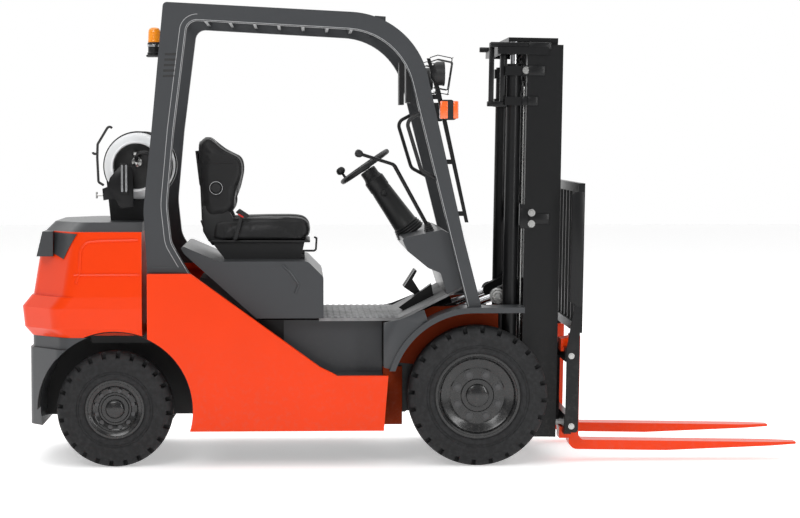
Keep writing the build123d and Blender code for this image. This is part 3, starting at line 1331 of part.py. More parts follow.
# Forks, hung on the carriage bars by their hooks
HOOK = 12.0
HOOK_DROP = 23.0
shank_back = FORK_FACE - FORK_THICKNESS
fork_tip = FORK_FACE + FORK_LENGTH
hook_back = BAR_BACK - TOUCH - HOOK
fork_outline = [
    (shank_back, FORK_SHANK_TOP), (FORK_FACE, FORK_SHANK_TOP), (FORK_FACE, FORK_TOP),
    (fork_tip, FORK_TOP),
    (fork_tip, FORK_TOP - FORK_TIP_THICKNESS), (FORK_FACE + FORK_LENGTH * 0.4, FORK_BOTTOM),
    (shank_back, FORK_BOTTOM),
    (shank_back, LOWER_BAR_BOTTOM - 30), (hook_back, LOWER_BAR_BOTTOM - 30),
    (hook_back, LOWER_BAR_BOTTOM + HOOK_DROP), (hook_back + HOOK, LOWER_BAR_BOTTOM + HOOK_DROP),
    (hook_back + HOOK, LOWER_BAR_BOTTOM - TOUCH), (shank_back, LOWER_BAR_BOTTOM - TOUCH),
    (shank_back, UPPER_BAR_TOP + TOUCH), (hook_back + HOOK, UPPER_BAR_TOP + TOUCH),
    (hook_back + HOOK, UPPER_BAR_TOP - HOOK_DROP), (hook_back, UPPER_BAR_TOP - HOOK_DROP),
    (hook_back, UPPER_BAR_TOP + 34), (shank_back, UPPER_BAR_TOP + 44),
]
fork_radii = [4, 8, 30, 3, 3, 120, 40] + [0] * 12
for side_name, side in SIDES:
    fork_y = side * FORK_Y
    with BuildPart() as fork:
        with BuildSketch(mast_side(fork_y + FORK_WIDTH / 2)):
            outline(on_mast(*fork_outline), radius=fork_radii)
        extrude(amount=FORK_WIDTH)
        for edge_side in (1, -1):
            with BuildSketch(mast_level(FORK_BOTTOM - 10)):
                outline(
                    [
                        (fork_tip + 2 - MAST_PIVOT_X, fork_y + edge_side * (FORK_WIDTH / 2 + 2)),
                        (fork_tip - 130 - MAST_PIVOT_X, fork_y + edge_side * (FORK_WIDTH / 2 + 2)),
                        (fork_tip - 130 - MAST_PIVOT_X, fork_y + edge_side * FORK_WIDTH / 2),
                        (fork_tip + 2 - MAST_PIVOT_X, fork_y + edge_side * FORK_WIDTH / 4),
                    ]
                )
            extrude(amount=2 * FORK_THICKNESS, mode=Mode.SUBTRACT)
    save(fork, f"fork_{side_name}")

# Tilt cylinders between the frame and the mast
eye_at = MAST.from_local_coords((TILT_EYE_X - MAST_PIVOT_X, 0, TILT_EYE_Z - MAST_PIVOT_Z))
anchor_at = Vector(FRONT_X + TILT_ANCHOR_X, 0, TILT_ANCHOR_Z)
tilt_way = (eye_at - anchor_at).normalized()
tilt_length = (eye_at - anchor_at).length
TILT_LUG = 28.0
TILT_NECK = 22.0
TILT_BARREL_START = 40.0
TILT_BARREL_END = 402.0
TILT_GLAND = 30.0


def tilt_plane(side, along):
    """Plane square to a tilt cylinder, at a distance along it from its rear pin."""
    start = anchor_at + tilt_way * along + Vector(0, side * TILT_CYLINDER_Y, 0)
    return Plane(origin=start, x_dir=(0, 1, 0), z_dir=tilt_way)


def tilt_ring(centre, radius, bore, half):
    """Add a ring across a tilt cylinder's end on both sides."""
    for _, side in SIDES:
        for size, mode in ((radius, Mode.ADD), (bore, Mode.SUBTRACT)):
            with BuildSketch(side_plane(side * TILT_CYLINDER_Y + half)) as ring:
                with Locations((centre.X, centre.Z)):
                    Circle(size)
            extrude(ring.sketch, amount=2 * half, mode=mode)


def tilt_bar(radius, start, end, mode=Mode.ADD):
    """Add or cut a round bar along both tilt cylinders."""
    for _, side in SIDES:
        with BuildSketch(tilt_plane(side, start)) as bar:
            Circle(radius)
        extrude(bar.sketch, amount=end - start, mode=mode)


with BuildPart() as tilt_barrels:
    tilt_bar(TILT_NECK, TILT_LUG - 6, TILT_BARREL_START)
    tilt_bar(TILT_BARREL_RADIUS, TILT_BARREL_START, TILT_BARREL_END)
    tilt_bar(
        TILT_ROD_RADIUS + 5, TILT_BARREL_START + 30, TILT_BARREL_END - TILT_GLAND, mode=Mode.SUBTRACT,
    )
    tilt_bar(
        TILT_ROD_RADIUS + BORE_FIT, TILT_BARREL_END - TILT_GLAND, TILT_BARREL_END, mode=Mode.SUBTRACT,
    )
    tilt_ring(anchor_at, TILT_LUG, TILT_PIN_RADIUS + BORE_FIT, CHEEK_GAP)
save(tilt_barrels, "tilt_barrels")

with BuildPart() as tilt_rods:
    tilt_bar(TILT_ROD_RADIUS, TILT_BARREL_START + 124, tilt_length - TILT_PIN_RADIUS - TILT_EYE_DRIFT - 4)
    tilt_ring(eye_at, TILT_LUG, TILT_PIN_RADIUS + TILT_EYE_DRIFT, CHEEK_GAP - 2)
save(tilt_rods, "tilt_rods")
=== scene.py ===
"""Dressed model of a forklift truck: finishes, seat, lamps, chains, hoses, bolts and trim."""
from math import cos, hypot, pi, radians, sin, tan

import bmesh
import bpy
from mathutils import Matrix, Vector
from mathutils.bvhtree import BVHTree


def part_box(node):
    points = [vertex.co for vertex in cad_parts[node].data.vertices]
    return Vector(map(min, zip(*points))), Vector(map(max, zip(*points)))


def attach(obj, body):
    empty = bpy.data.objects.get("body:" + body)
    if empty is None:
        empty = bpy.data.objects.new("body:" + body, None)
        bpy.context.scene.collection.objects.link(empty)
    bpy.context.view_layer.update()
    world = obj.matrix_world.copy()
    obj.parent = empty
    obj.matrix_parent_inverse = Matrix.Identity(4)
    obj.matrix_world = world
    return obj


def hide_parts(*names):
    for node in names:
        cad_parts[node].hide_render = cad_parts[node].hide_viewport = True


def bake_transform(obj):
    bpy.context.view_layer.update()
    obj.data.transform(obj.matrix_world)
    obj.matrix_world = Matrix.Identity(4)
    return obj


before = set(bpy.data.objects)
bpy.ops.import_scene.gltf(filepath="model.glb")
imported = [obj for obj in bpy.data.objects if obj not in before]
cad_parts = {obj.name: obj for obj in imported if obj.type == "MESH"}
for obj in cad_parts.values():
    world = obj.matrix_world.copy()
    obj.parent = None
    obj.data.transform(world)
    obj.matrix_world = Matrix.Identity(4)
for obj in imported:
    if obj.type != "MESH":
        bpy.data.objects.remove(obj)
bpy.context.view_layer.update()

# Places that the frame gives, in metres
FRONT_AXLE = (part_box("tyre_front_left")[0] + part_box("tyre_front_left")[1]) / 2
REAR_AXLE = (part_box("tyre_rear_left")[0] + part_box("tyre_rear_left")[1]) / 2
FRONT_X, FRONT_Z = FRONT_AXLE.x, FRONT_AXLE.z
REAR_X, REAR_Z = REAR_AXLE.x, REAR_AXLE.z
MAST_LEAN = radians(1.0)
MAST_PIVOT = Vector((FRONT_X + 0.135, 0, 0.3))

# Camera of the photograph, whose image is 800 by 518 pixels
CAMERA_PLACE = Vector((FRONT_X - 0.823, -11.7, 1.53))
CAMERA_YAW = radians(2.37)
CAMERA_PITCH = radians(2.91)
CAMERA_LENS = 108.8


# Shader maths
class Signal:
    """A shader value whose arithmetic adds Math nodes."""

    def __init__(self, finish, socket):
        self.finish = finish
        self.socket = socket

    def math(self, operation, *others):
        return self.finish.value("ShaderNodeMath", {"operation": operation}, dict(enumerate((self, *others))))

    def __add__(self, other):
        return self.math("ADD", other)

    __radd__ = __add__

    def __mul__(self, other):
        return self.math("MULTIPLY", other)

    def __sub__(self, other):
        return self.math("SUBTRACT", other)

    def __rsub__(self, other):
        return self.finish.value("ShaderNodeMath", {"operation": "SUBTRACT"}, {0: other, 1: self})

    def sine(self):
        return self.math("SINE")

    def root(self):
        return self.math("SQRT")

    def least(self, other):
        return self.math("MINIMUM", other)

    def between(self, low, high):
        """0 below low, 1 above high, smooth between."""
        inputs = {"Value": self, "From Min": low, "From Max": high}
        return self.finish.value("ShaderNodeMapRange", {"interpolation_type": "SMOOTHSTEP"}, inputs)


class Finish:
    """A material being made, on the object's own coordinates."""

    def __init__(self, name, colour, roughness, metallic=0.0):
        self.colour = colour
        self.material = bpy.data.materials.new(name)
        self.material.use_nodes = True
        self.material.diffuse_color = (*colour, 1)
        self.tree = self.material.node_tree
        self.shader = self.tree.nodes["Principled BSDF"]
        self.place = self.node("ShaderNodeTexCoord").outputs["Object"]
        self.set("Base Color", (*colour, 1))
        self.set("Roughness", roughness)
        self.set("Metallic", metallic)

    def put(self, socket, value):
        if isinstance(value, Signal):
            value = value.socket
        if isinstance(value, bpy.types.NodeSocket):
            self.tree.links.new(value, socket)
        else:
            socket.default_value = value

    def set(self, socket, value):
        self.put(self.shader.inputs[socket], value)

    def node(self, kind, settings=None, inputs=None):
        made = self.tree.nodes.new(kind)
        for name, value in (settings or {}).items():
            setattr(made, name, value)
        for name, value in (inputs or {}).items():
            self.put(made.inputs[name], value)
        return made

    def value(self, kind, settings=None, inputs=None):
        return Signal(self, self.node(kind, settings, inputs).outputs[0])

    def axes(self):
        parts = self.node("ShaderNodeSeparateXYZ", None, {0: self.place})
        return [Signal(self, parts.outputs[i]) for i in range(3)]

    def noise(self, scale, detail=2.0, roughness=0.5):
        inputs = {"Vector": self.place, "Scale": scale, "Detail": detail, "Roughness": roughness}
        return self.value("ShaderNodeTexNoise", None, inputs)

    def cells(self, scale):
        settings = {"feature": "DISTANCE_TO_EDGE"}
        return self.value("ShaderNodeTexVoronoi", settings, {"Vector": self.place, "Scale": scale})

    def mix(self, mask, first, second):
        inputs = {0: mask}
        inputs[6] = first if isinstance(first, bpy.types.NodeSocket) else (*first, 1)
        inputs[7] = second if isinstance(second, bpy.types.NodeSocket) else (*second, 1)
        return self.node("ShaderNodeMix", {"data_type": "RGBA"}, inputs).outputs[2]

    def tones(self, mask, low, high):
        """The finish's own colour, darker or lighter by two factors, mixed by a mask."""
        first, second = (tuple(channel * factor for channel in self.colour) for factor in (low, high))
        return self.mix(mask, first, second)

    def bump(self, height, strength, distance):
        inputs = {"Height": height, "Strength": strength, "Distance": distance}
        self.set("Normal", self.node("ShaderNodeBump", None, inputs).outputs[0])


# Finishes
DUST = (0.23, 0.21, 0.19)


def paint(name, colour, roughness, coat, peel=0.12, dust=0.1, gloss=0.3):
    """Sprayed paint: a little uneven in tone, orange peel, and dust that settles low down."""
    finish = Finish(name, colour, roughness)
    tone = finish.noise(3.5, 3.0)
    grime = finish.noise(38.0, 4.0, 0.65)
    low = 1 - finish.axes()[2].between(0.1, 0.75)
    dusty = low * grime.between(0.45, 0.75) * dust
    body = finish.tones(tone, 0.94, 1.05)
    finish.set("Base Color", finish.mix(dusty, body, DUST))
    finish.set("Roughness", roughness + grime.between(0.4, 0.8) * 0.06 + dusty * 0.4)
    finish.set("Specular IOR Level", gloss)
    finish.set("Coat Weight", coat)
    finish.set("Coat Roughness", 0.12)
    finish.bump(finish.noise(420.0, 1.0), peel, 0.0004)
    return finish.material


def moulded(name, colour, roughness, grain=900.0):
    """Moulded plastic with a fine leather grain."""
    finish = Finish(name, colour, roughness)
    tone = finish.noise(6.0, 2.0)
    finish.set("Base Color", finish.tones(tone, 0.85, 1.15))
    finish.set("Roughness", roughness + finish.noise(60.0, 3.0) * 0.1 - 0.05)
    finish.set("Specular IOR Level", 0.28)
    finish.bump(finish.cells(grain), 0.25, 0.0003)
    return finish.material


def polished(name, colour, roughness):
    """Turned and polished steel."""
    finish = Finish(name, colour, roughness, 1.0)
    smear = finish.noise(45.0, 3.0)
    finish.set("Base Color", finish.tones(smear, 0.9, 1))
    finish.set("Roughness", roughness + smear * 0.12)
    finish.bump(finish.noise(900.0, 1.0), 0.05, 0.0002)
    return finish.material


def tyre_rubber():
    """Solid tyre rubber: moulded rings round each axle and a worn grey tread."""
    finish = Finish("tyre_rubber", (0.016, 0.0162, 0.017), 0.62)
    x, _, z = finish.axes()

    def ring_radius(centre_x, centre_z):
        across = x - centre_x
        up = z - centre_z
        return (across * across + up * up).root()

    radius = ring_radius(FRONT_X, FRONT_Z).least(ring_radius(REAR_X, REAR_Z))
    rings = (radius * 420.0).sine()
    wear = finish.noise(55.0, 4.0, 0.6)
    finish.set("Base Color", finish.tones(wear.between(0.35, 0.75), 0.8, 1.5))
    finish.set("Roughness", 0.52 + wear * 0.22)
    finish.set("Specular IOR Level", 0.22)
    finish.bump(rings * 0.35 + finish.noise(260.0, 3.0) * 0.5, 0.35, 0.0008)
    return finish.material


def seat_vinyl():
    """Black vinyl: fine pebble grain, soft creases and a slight polish where it is sat on."""
    finish = Finish("seat_vinyl", (0.012, 0.012, 0.0125), 0.4)
    crease = finish.noise(14.0, 5.0, 0.6)
    worn = finish.noise(4.0, 2.0).between(0.45, 0.7)
    finish.set("Base Color", finish.tones(worn, 1, 1.8))
    finish.set("Roughness", 0.42 - worn * 0.1)
    finish.set("Specular IOR Level", 0.22)
    finish.bump(finish.cells(650.0) + crease * 1.5, 0.3, 0.0006)
    return finish.material


def floor_rubber():
    """Ribbed grey rubber mat, trodden darker in places."""
    finish = Finish("floor_rubber", (0.22, 0.222, 0.225), 0.6)
    trodden = finish.noise(9.0, 4.0, 0.6)
    finish.set("Base Color", finish.tones(trodden.between(0.4, 0.7), 1, 0.7))
    finish.set("Roughness", 0.5 + trodden * 0.2)
    finish.bump(finish.noise(300.0, 3.0), 0.3, 0.0006)
    return finish.material


def lens(name, colour, glow=0.0):
    """Ribbed lamp lens: clear gloss over a colour painted darker in the grooves between its ribs, as painted
    shade.
    """
    finish = Finish(name, colour, 0.12)
    ribs = (finish.axes()[2] * 900.0).sine() * 0.5 + 0.5
    # Painted shade: the colour is darker where the rib bump is low, in the grooves
    finish.set("Base Color", finish.tones(ribs, 0.75, 1))
    finish.set("Coat Weight", 0.6)
    finish.set("Emission Color", (*colour, 1))
    finish.set("Emission Strength", glow)
    finish.bump(ribs, 0.3, 0.0006)
    return finish.material


def casting(name, colour):
    """Rough painted casting."""
    finish = Finish(name, colour, 0.6)
    pits = finish.noise(160.0, 5.0, 0.7)
    finish.set("Base Color", finish.tones(pits, 0.7, 1.2))
    finish.set("Roughness", 0.5 + pits * 0.25)
    finish.bump(pits, 0.35, 0.0012)
    return finish.material


ORANGE = (0.76, 0.042, 0.001)
CHARCOAL = (0.04, 0.0425, 0.046)
BLACK = (0.006, 0.0062, 0.0067)
finishes = {
    "orange": paint("orange_enamel", ORANGE, 0.3, 0.2, gloss=0.12),
    # The inner fenders' orange, darkened as painted shade inside the wheel wells, with a little dust
    "shaded_orange": paint("painted_shade_orange", (0.2, 0.021, 0.0015), 0.5, 0.0, dust=0.08, gloss=0.08),
    "charcoal": paint("charcoal_satin", CHARCOAL, 0.36, 0.15, 0.2),
    "black": paint("black_enamel", BLACK, 0.34, 0.1, gloss=0.2),
    "rim": paint("rim_black", (0.01, 0.0102, 0.0107), 0.24, 0.3, gloss=0.4),
    "tyre": tyre_rubber(),
    "vinyl": seat_vinyl(),
    "plastic": moulded("black_plastic", (0.014, 0.0142, 0.0148), 0.42),
    "mat": floor_rubber(),
    "chrome": polished("chrome", (0.72, 0.73, 0.75), 0.06),
    "zinc": polished("zinc_plate", (0.5, 0.5, 0.49), 0.22),
    "tank": paint("tank_white", (0.72, 0.73, 0.74), 0.28, 0.2),
    "amber": lens("amber_lens", (0.95, 0.3, 0.015), 0.15),
    "signal": lens("signal_lens", (0.9, 0.14, 0.02), 0.05),
    "clear": lens("clear_lens", (0.75, 0.78, 0.8)),
    "iron": casting("engine_casting", (0.06, 0.06, 0.062)),
    "steel": casting("dark_steel", (0.012, 0.012, 0.0125)),
    # Pale paint: the painted highlight along the guard pillars' inner edges, and the ring round the seat knob
    "trim": paint("pale_trim_and_highlight", (0.34, 0.345, 0.35), 0.35, 0.1),
    "red": moulded("red_button", (0.5, 0.02, 0.015), 0.35),
}
NODE_FINISHES = {
    "orange": ("side_panels", "sills", "counterweight", "fork_left", "fork_right"),
    "shaded_orange": ("inner_fenders",),
    "charcoal": (
        "bumper", "rear_cover", "front_fenders", "cowl", "guard_left", "guard_right", "guard_roof", "hood",
        "step_wells",
    ),
    "black": (
        "frame", "tank_boxes", "mast_outer", "mast_inner", "carriage", "backrest", "lift_barrels",
        "tilt_barrels", "tank_bracket", "drive_axle", "steer_axle", "knuckle_left", "knuckle_right",
        "lamp_stays", "pedals",
    ),
    "rim": ("wheel_front_left", "wheel_front_right", "wheel_rear_left", "wheel_rear_right"),
    "tyre": ("tyre_front_left", "tyre_front_right", "tyre_rear_left", "tyre_rear_right"),
    "vinyl": ("seat_cushion", "seat_back"),
    "plastic": (
        "seat_base", "steering_wheel", "steering_column", "levers", "mirrors", "assist_grips", "work_lamps",
        "turn_signals",
    ),
    "mat": ("floor_plate",),
    "chrome": ("lift_rods", "tilt_rods"),
    "tank": ("gas_tank",),
    "amber": ("beacon",),
    "iron": ("engine",),
    "steel": ("chains_front", "chains_rear"),
}


def dress_nodes():
    """Give every CAD node its finish."""
    for finish, names in NODE_FINISHES.items():
        for name in names:
            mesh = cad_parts[name].data
            mesh.materials.clear()
            mesh.materials.append(finishes[finish])


SMOOTH_ANGLE = radians(35)


# Places on the truck
SIDES = (("left", 1), ("right", -1))
AHEAD, RIGHT, UP = (1, 0, 0), (0, -1, 0), (0, 0, 1)


def truck(x, y, z):
    """A point given from the front axle, over the floor."""
    return Vector((FRONT_X + x, y, z))


def on_mast(x, y, z):
    """A mast point given from the front axle as if the mast stood upright."""
    across, up = FRONT_X + x - MAST_PIVOT.x, z - MAST_PIVOT.z
    return Vector((
        MAST_PIVOT.x + across * cos(MAST_LEAN) + up * sin(MAST_LEAN),
        y,
        MAST_PIVOT.z - across * sin(MAST_LEAN) + up * cos(MAST_LEAN),
    ))


def turns(count):
    """Equal angles round a circle."""
    return [2 * pi * i / count for i in range(count)]


def span(side, inner, outer):
    """Two distances from the middle as a Y range on one side."""
    return sorted((side * inner, side * outer))


def side_path(y, points, place=truck):
    """Side-view points as places at one Y."""
    return [place(x, y, z) for x, z in points]


# Pieces
def put(name, data):
    """A new object in the scene."""
    made = bpy.data.objects.new(name, data)
    bpy.context.scene.collection.objects.link(made)
    return made


def add_piece(name, mesh, finish, body, replaces=()):
    """Put a finished mesh on a body and the nodes that it stands for."""
    mesh.materials.clear()
    mesh.materials.append(finishes[finish])
    mesh.polygons.foreach_set("use_smooth", [True] * len(mesh.polygons))
    mesh.set_sharp_from_angle(angle=SMOOTH_ANGLE)
    made = put(name, mesh)
    if body:
        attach(made, body)
    if replaces:
        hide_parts(*replaces)
    return made


def closed_mesh(name, shape):
    """A bmesh as a mesh whose faces point outwards."""
    bmesh.ops.remove_doubles(shape, verts=shape.verts, dist=1e-6)
    bmesh.ops.recalc_face_normals(shape, faces=shape.faces)
    mesh = bpy.data.meshes.new(name)
    shape.to_mesh(mesh)
    shape.free()
    return mesh


def lathe(shape, profile, centre, axis, steps, loop=False):
    """Add a turned form. Rows are (radius, distance along the axis), and a zero radius is a point."""
    turn = Vector((0, 0, 1)).rotation_difference(Vector(axis)).to_matrix()
    rings = []
    for radius, along in profile:
        angles = turns(steps) if radius > 0 else [0]
        points = [turn @ Vector((radius * cos(a), radius * sin(a), along)) for a in angles]
        rings.append([shape.verts.new(Vector(centre) + point) for point in points])
    for low, high in zip(rings, rings[1:] + rings[:1] if loop else rings[1:]):
        for step in range(steps):
            after = (step + 1) % steps
            below = low[step % len(low)], low[after % len(low)]
            above = high[after % len(high)], high[step % len(high)]
            face = list(dict.fromkeys(below + above))
            if len(face) > 2:
                shape.faces.new(face)
    if not loop:
        for ring in (rings[0], rings[-1]):
            if len(ring) > 2:
                shape.faces.new(ring)


def slab(shape, outline, low_y, high_y, place=truck, bevel=0.0):
    """Add a side-view outline of (x, z) points as a plate between two Y values."""
    near = [shape.verts.new(place(x, low_y, z)) for x, z in outline]
    far = [shape.verts.new(place(x, high_y, z)) for x, z in outline]
    faces = [shape.faces.new(near), shape.faces.new(list(reversed(far)))]
    for i in range(len(outline)):
        after = (i + 1) % len(outline)
        faces.append(shape.faces.new((near[after], near[i], far[i], far[after])))
    if bevel:
        edges = {edge for face in faces for edge in face.edges}
        bmesh.ops.bevel(shape, geom=list(edges), offset=bevel, segments=2, profile=0.5, affect="EDGES")


def brick(shape, x_range, y_range, z_range, place=truck, bevel=0.0):
    """Add a block between two corners."""
    (back, front), (low, high) = x_range, z_range
    outline = [(back, low), (front, low), (front, high), (back, high)]
    slab(shape, outline, *y_range, place, bevel)


def skin(shape, rows, loop=True):
    """Add faces between rows of equal length, each row closed on itself if it loops."""
    for low, high in zip(rows, rows[1:]):
        for i in range(len(low) if loop else len(low) - 1):
            after = (i + 1) % len(low)
            shape.faces.new((low[i], low[after], high[after], high[i]))


def add_shape(name, shape, finish, body, replaces=()):
    """Close a bmesh and put it on a body."""
    return add_piece(name, closed_mesh(name, shape), finish, body, replaces)


def add_turned(name, finish, forms, body="chassis", replaces=()):
    """A piece of turned forms, each given by what lathe takes."""
    shape = bmesh.new()
    for form in forms:
        lathe(shape, *form)
    return add_shape(name, shape, finish, body, replaces)


def add_plates(name, outline, inner, outer, finish, body, place, bevel):
    """A plate of one outline on each side of the truck."""
    shape = bmesh.new()
    for side in (-1, 1):
        slab(shape, outline, *span(side, inner, outer), place, bevel)
    return add_shape(name, shape, finish, body)


# Geometry Nodes
class Form:
    """A Geometry Nodes tree being made, with named inputs."""

    def __init__(self, name):
        self.group = bpy.data.node_groups.new(name, "GeometryNodeTree")
        for way in ("INPUT", "OUTPUT"):
            self.group.interface.new_socket("Geometry", in_out=way, socket_type="NodeSocketGeometry")
        self.source = self.group.nodes.new("NodeGroupInput")
        self.result = self.group.nodes.new("NodeGroupOutput")
        self.keys = {}

    def entry(self, name, kind, value=None):
        socket = self.group.interface.new_socket(name, in_out="INPUT", socket_type="NodeSocket" + kind)
        if value is not None:
            socket.default_value = value
        self.keys[name] = socket.identifier
        return self.source.outputs[name]

    def node(self, kind, settings=None, inputs=None):
        made = self.group.nodes.new(kind)
        for name, value in (settings or {}).items():
            setattr(made, name, value)
        for name, value in (inputs or {}).items():
            if isinstance(value, bpy.types.NodeSocket):
                self.group.links.new(value, made.inputs[name])
            else:
                made.inputs[name].default_value = value
        return made.outputs[0]

    def times(self, value, factor):
        return self.node("ShaderNodeMath", {"operation": "MULTIPLY"}, {0: value, 1: factor})

    def repeat(self, parts):
        """End the tree with the parts at each point, facing along its direction."""
        joined = self.group.nodes.new("GeometryNodeJoinGeometry")
        for part in parts:
            self.group.links.new(part, joined.inputs[0])
        way = self.node("GeometryNodeInputNamedAttribute", {"data_type": "FLOAT_VECTOR"}, {"Name": "facing"})
        turn = self.node("FunctionNodeAlignRotationToVector", {"axis": "Z"}, {"Vector": way})
        inputs = {"Points": self.source.outputs["Geometry"], "Instance": joined.outputs[0], "Rotation": turn}
        self.close(self.node("GeometryNodeInstanceOnPoints", None, inputs))

    def close(self, geometry):
        """End the tree: realize what is repeated and give it its material."""
        material = self.entry("Finish", "Material")
        realized = self.node("GeometryNodeRealizeInstances", None, {0: geometry})
        painted = self.node("GeometryNodeSetMaterial", None, {"Geometry": realized, "Material": material})
        self.group.links.new(painted, self.result.inputs[0])

    def grow(self, name, carrier, finish, body, inputs, replaces=()):
        """Run the tree on a carrier mesh and keep the result as a piece."""
        holder = put(name + "_carrier", carrier)
        modifier = holder.modifiers.new("form", "NODES")
        modifier.node_group = self.group
        for key, value in {**inputs, "Finish": finishes[finish]}.items():
            modifier[self.keys[key]] = value
        made = holder.evaluated_get(bpy.context.evaluated_depsgraph_get())
        mesh = bpy.data.meshes.new_from_object(made)
        mesh.name = name
        bpy.data.objects.remove(holder)
        bpy.data.meshes.remove(carrier)
        return add_piece(name, mesh, finish, body, replaces)


def make_bar_form():
    """A round bar, wire or pipe along each path, with its corners rounded."""
    form = Form("bar_along_path")
    radius = form.entry("Radius", "Float", 0.005)
    bend = form.entry("Bend", "Float", 0.02)
    sides = form.entry("Sides", "Int", 10)
    path = form.node("GeometryNodeMeshToCurve", None, {"Mesh": form.source.outputs["Geometry"]})
    corners = {"Curve": path, "Count": 5, "Radius": bend, "Limit Radius": True}
    rounded = form.node("GeometryNodeFilletCurve", {"mode": "POLY"}, corners)
    ring = form.node("GeometryNodeCurvePrimitiveCircle", None, {"Resolution": sides, "Radius": radius})
    inputs = {"Curve": rounded, "Profile Curve": ring, "Fill Caps": True}
    form.close(form.node("GeometryNodeCurveToMesh", None, inputs))
    return form


def make_bolt_form():
    """A hexagon head on a washer at each point, facing along its direction."""
    form = Form("bolt_heads")
    size = form.entry("Across", "Float", 0.02)

    def disc(sides, width, height):
        depth = form.times(size, height)
        inputs = {"Vertices": sides, "Radius": form.times(size, width), "Depth": depth}
        solid = form.node("GeometryNodeMeshCylinder", None, inputs)
        up = form.node("ShaderNodeCombineXYZ", None, {"Z": form.times(depth, 0.5)})
        return form.node("GeometryNodeSetPosition", None, {"Geometry": solid, "Offset": up})

    head, washer = disc(6, 0.5, 0.42), disc(16, 0.72, 0.1)
    form.repeat([head, washer])
    return form


def path_mesh(*paths):
    """Paths of points as edges, closed where a path ends on its first point."""
    mesh = bpy.data.meshes.new("path")
    points, edges = [], []
    for path in paths:
        start = len(points)
        loop = (Vector(path[0]) - Vector(path[-1])).length < 1e-6
        kept = path[:-1] if loop else path
        points += [Vector(point) for point in kept]
        edges += [(start + i, start + i + 1) for i in range(len(kept) - 1)]
        if loop:
            edges.append((len(points) - 1, start))
    mesh.from_pydata(points, edges, [])
    return mesh


def point_mesh(places):
    """Points with a facing direction each: (place, direction) rows."""
    mesh = bpy.data.meshes.new("points")
    mesh.from_pydata([place for place, _ in places], [], [])
    facing = mesh.attributes.new("facing", "FLOAT_VECTOR", "POINT")
    for row, (_, way) in zip(facing.data, places):
        row.vector = way
    return mesh


bar_form = make_bar_form()
bolt_form = make_bolt_form()


def add_bars(name, paths, radius, bend, finish, body, sides=10, replaces=()):
    inputs = {"Radius": radius, "Bend": bend, "Sides": sides}
    return bar_form.grow(name, path_mesh(*paths), finish, body, inputs, replaces)


def add_bolts(name, places, across, finish, body):
    return bolt_form.grow(name, point_mesh(places), finish, body, {"Across": across})


# Wheels and tyres
# An axle is X, distance of its wheels from the middle, Z, tyre radius, half width, rim radius
AXLES = {
    "front": (FRONT_X, 0.48, FRONT_Z, 0.325, 0.095, 0.1975),
    "rear": (REAR_X, 0.47, REAR_Z, 0.268, 0.08, 0.1365),
}
TYRE_LUGS = 24
SLOT_WIDTH = 0.019
SLOT_DEPTH = 0.03
SLOT_REACH = 0.046
SLOT_EDGE = 0.0015
RIM_STEPS = 64
# A section to be turned has rows of radius and distance along the axis
RIM_SECTIONS = {
    "front": [
        (0.0, 0.06), (0.04, 0.06), (0.05, 0.056), (0.053, 0.05), (0.054, 0.0405), (0.074, 0.0405),
        (0.078, 0.036), (0.127, 0.036), (0.133, 0.0405), (0.14, 0.042), (0.15, 0.0475), (0.163, 0.05),
        (0.1695, 0.0535), (0.174, 0.066), (0.178, 0.072), (0.184, 0.075), (0.186, 0.078), (0.1972, 0.078),
        (0.1972, -0.078), (0.1855, -0.078), (0.1695, -0.066), (0.1695, -0.008), (0.135, 0.02), (0.0452, 0.02),
        (0.0452, 0.0398), (0.0, 0.0398),
    ],
    "rear": [
        (0.0, 0.06), (0.03, 0.06), (0.04, 0.056), (0.044, 0.05), (0.0445, 0.0405), (0.062, 0.0405),
        (0.066, 0.035), (0.074, 0.035), (0.078, 0.0405), (0.094, 0.043), (0.101, 0.046), (0.106, 0.052),
        (0.111, 0.058), (0.118, 0.06), (0.1245, 0.063), (0.126, 0.066), (0.1362, 0.066), (0.1362, -0.066),
        (0.1245, -0.066), (0.1085, -0.054), (0.1085, -0.008), (0.076, 0.02), (0.0302, 0.02), (0.0302, 0.0398),
        (0.0, 0.0398),
    ],
}
# Nuts are their number, the radius of their circle, their depth and their size
WHEEL_NUTS = {"front": (8, 0.103, 0.036, 0.03), "rear": (12, 0.088, 0.0415, 0.016)}


def tyre_flank(radius, half, rim):
    """Half of a tyre's section from its bead to its crown: (distance from the middle, radius) rows."""
    return [
        (half - 0.012, rim + 0.0005), (half - 0.004, rim + 0.005), (half, rim + 0.013), (half, rim + 0.026),
        (half - 0.004, rim + 0.03), (half - 0.004, rim + 0.038), (half, rim + 0.042), (half, radius - 0.05),
        (half - 0.002, radius - 0.036), (half - 0.006, radius - 0.022), (half - 0.014, radius - 0.011),
        (half - 0.026, radius - 0.004), (half - SLOT_REACH + 0.002, radius - 0.0008),
        (half - SLOT_REACH, radius), (half * 0.3, radius),
    ]


def tyre_steps(radius):
    """Angles round a tyre, each with the side on which a slot is cut there, or 0."""
    slot = SLOT_WIDTH / 2 / radius
    wall = slot + SLOT_EDGE / radius
    pitch = 2 * pi / TYRE_LUGS
    steps = []
    for lug in range(TYRE_LUGS):
        for way in (1, -1):
            middle = lug * pitch + way * pitch / 4
            steps += [(middle + offset, way) for offset in (-slot, 0, slot)]
            steps += [(middle + offset, 0) for offset in (-wall, wall, pitch / 4)]
    return sorted(steps)


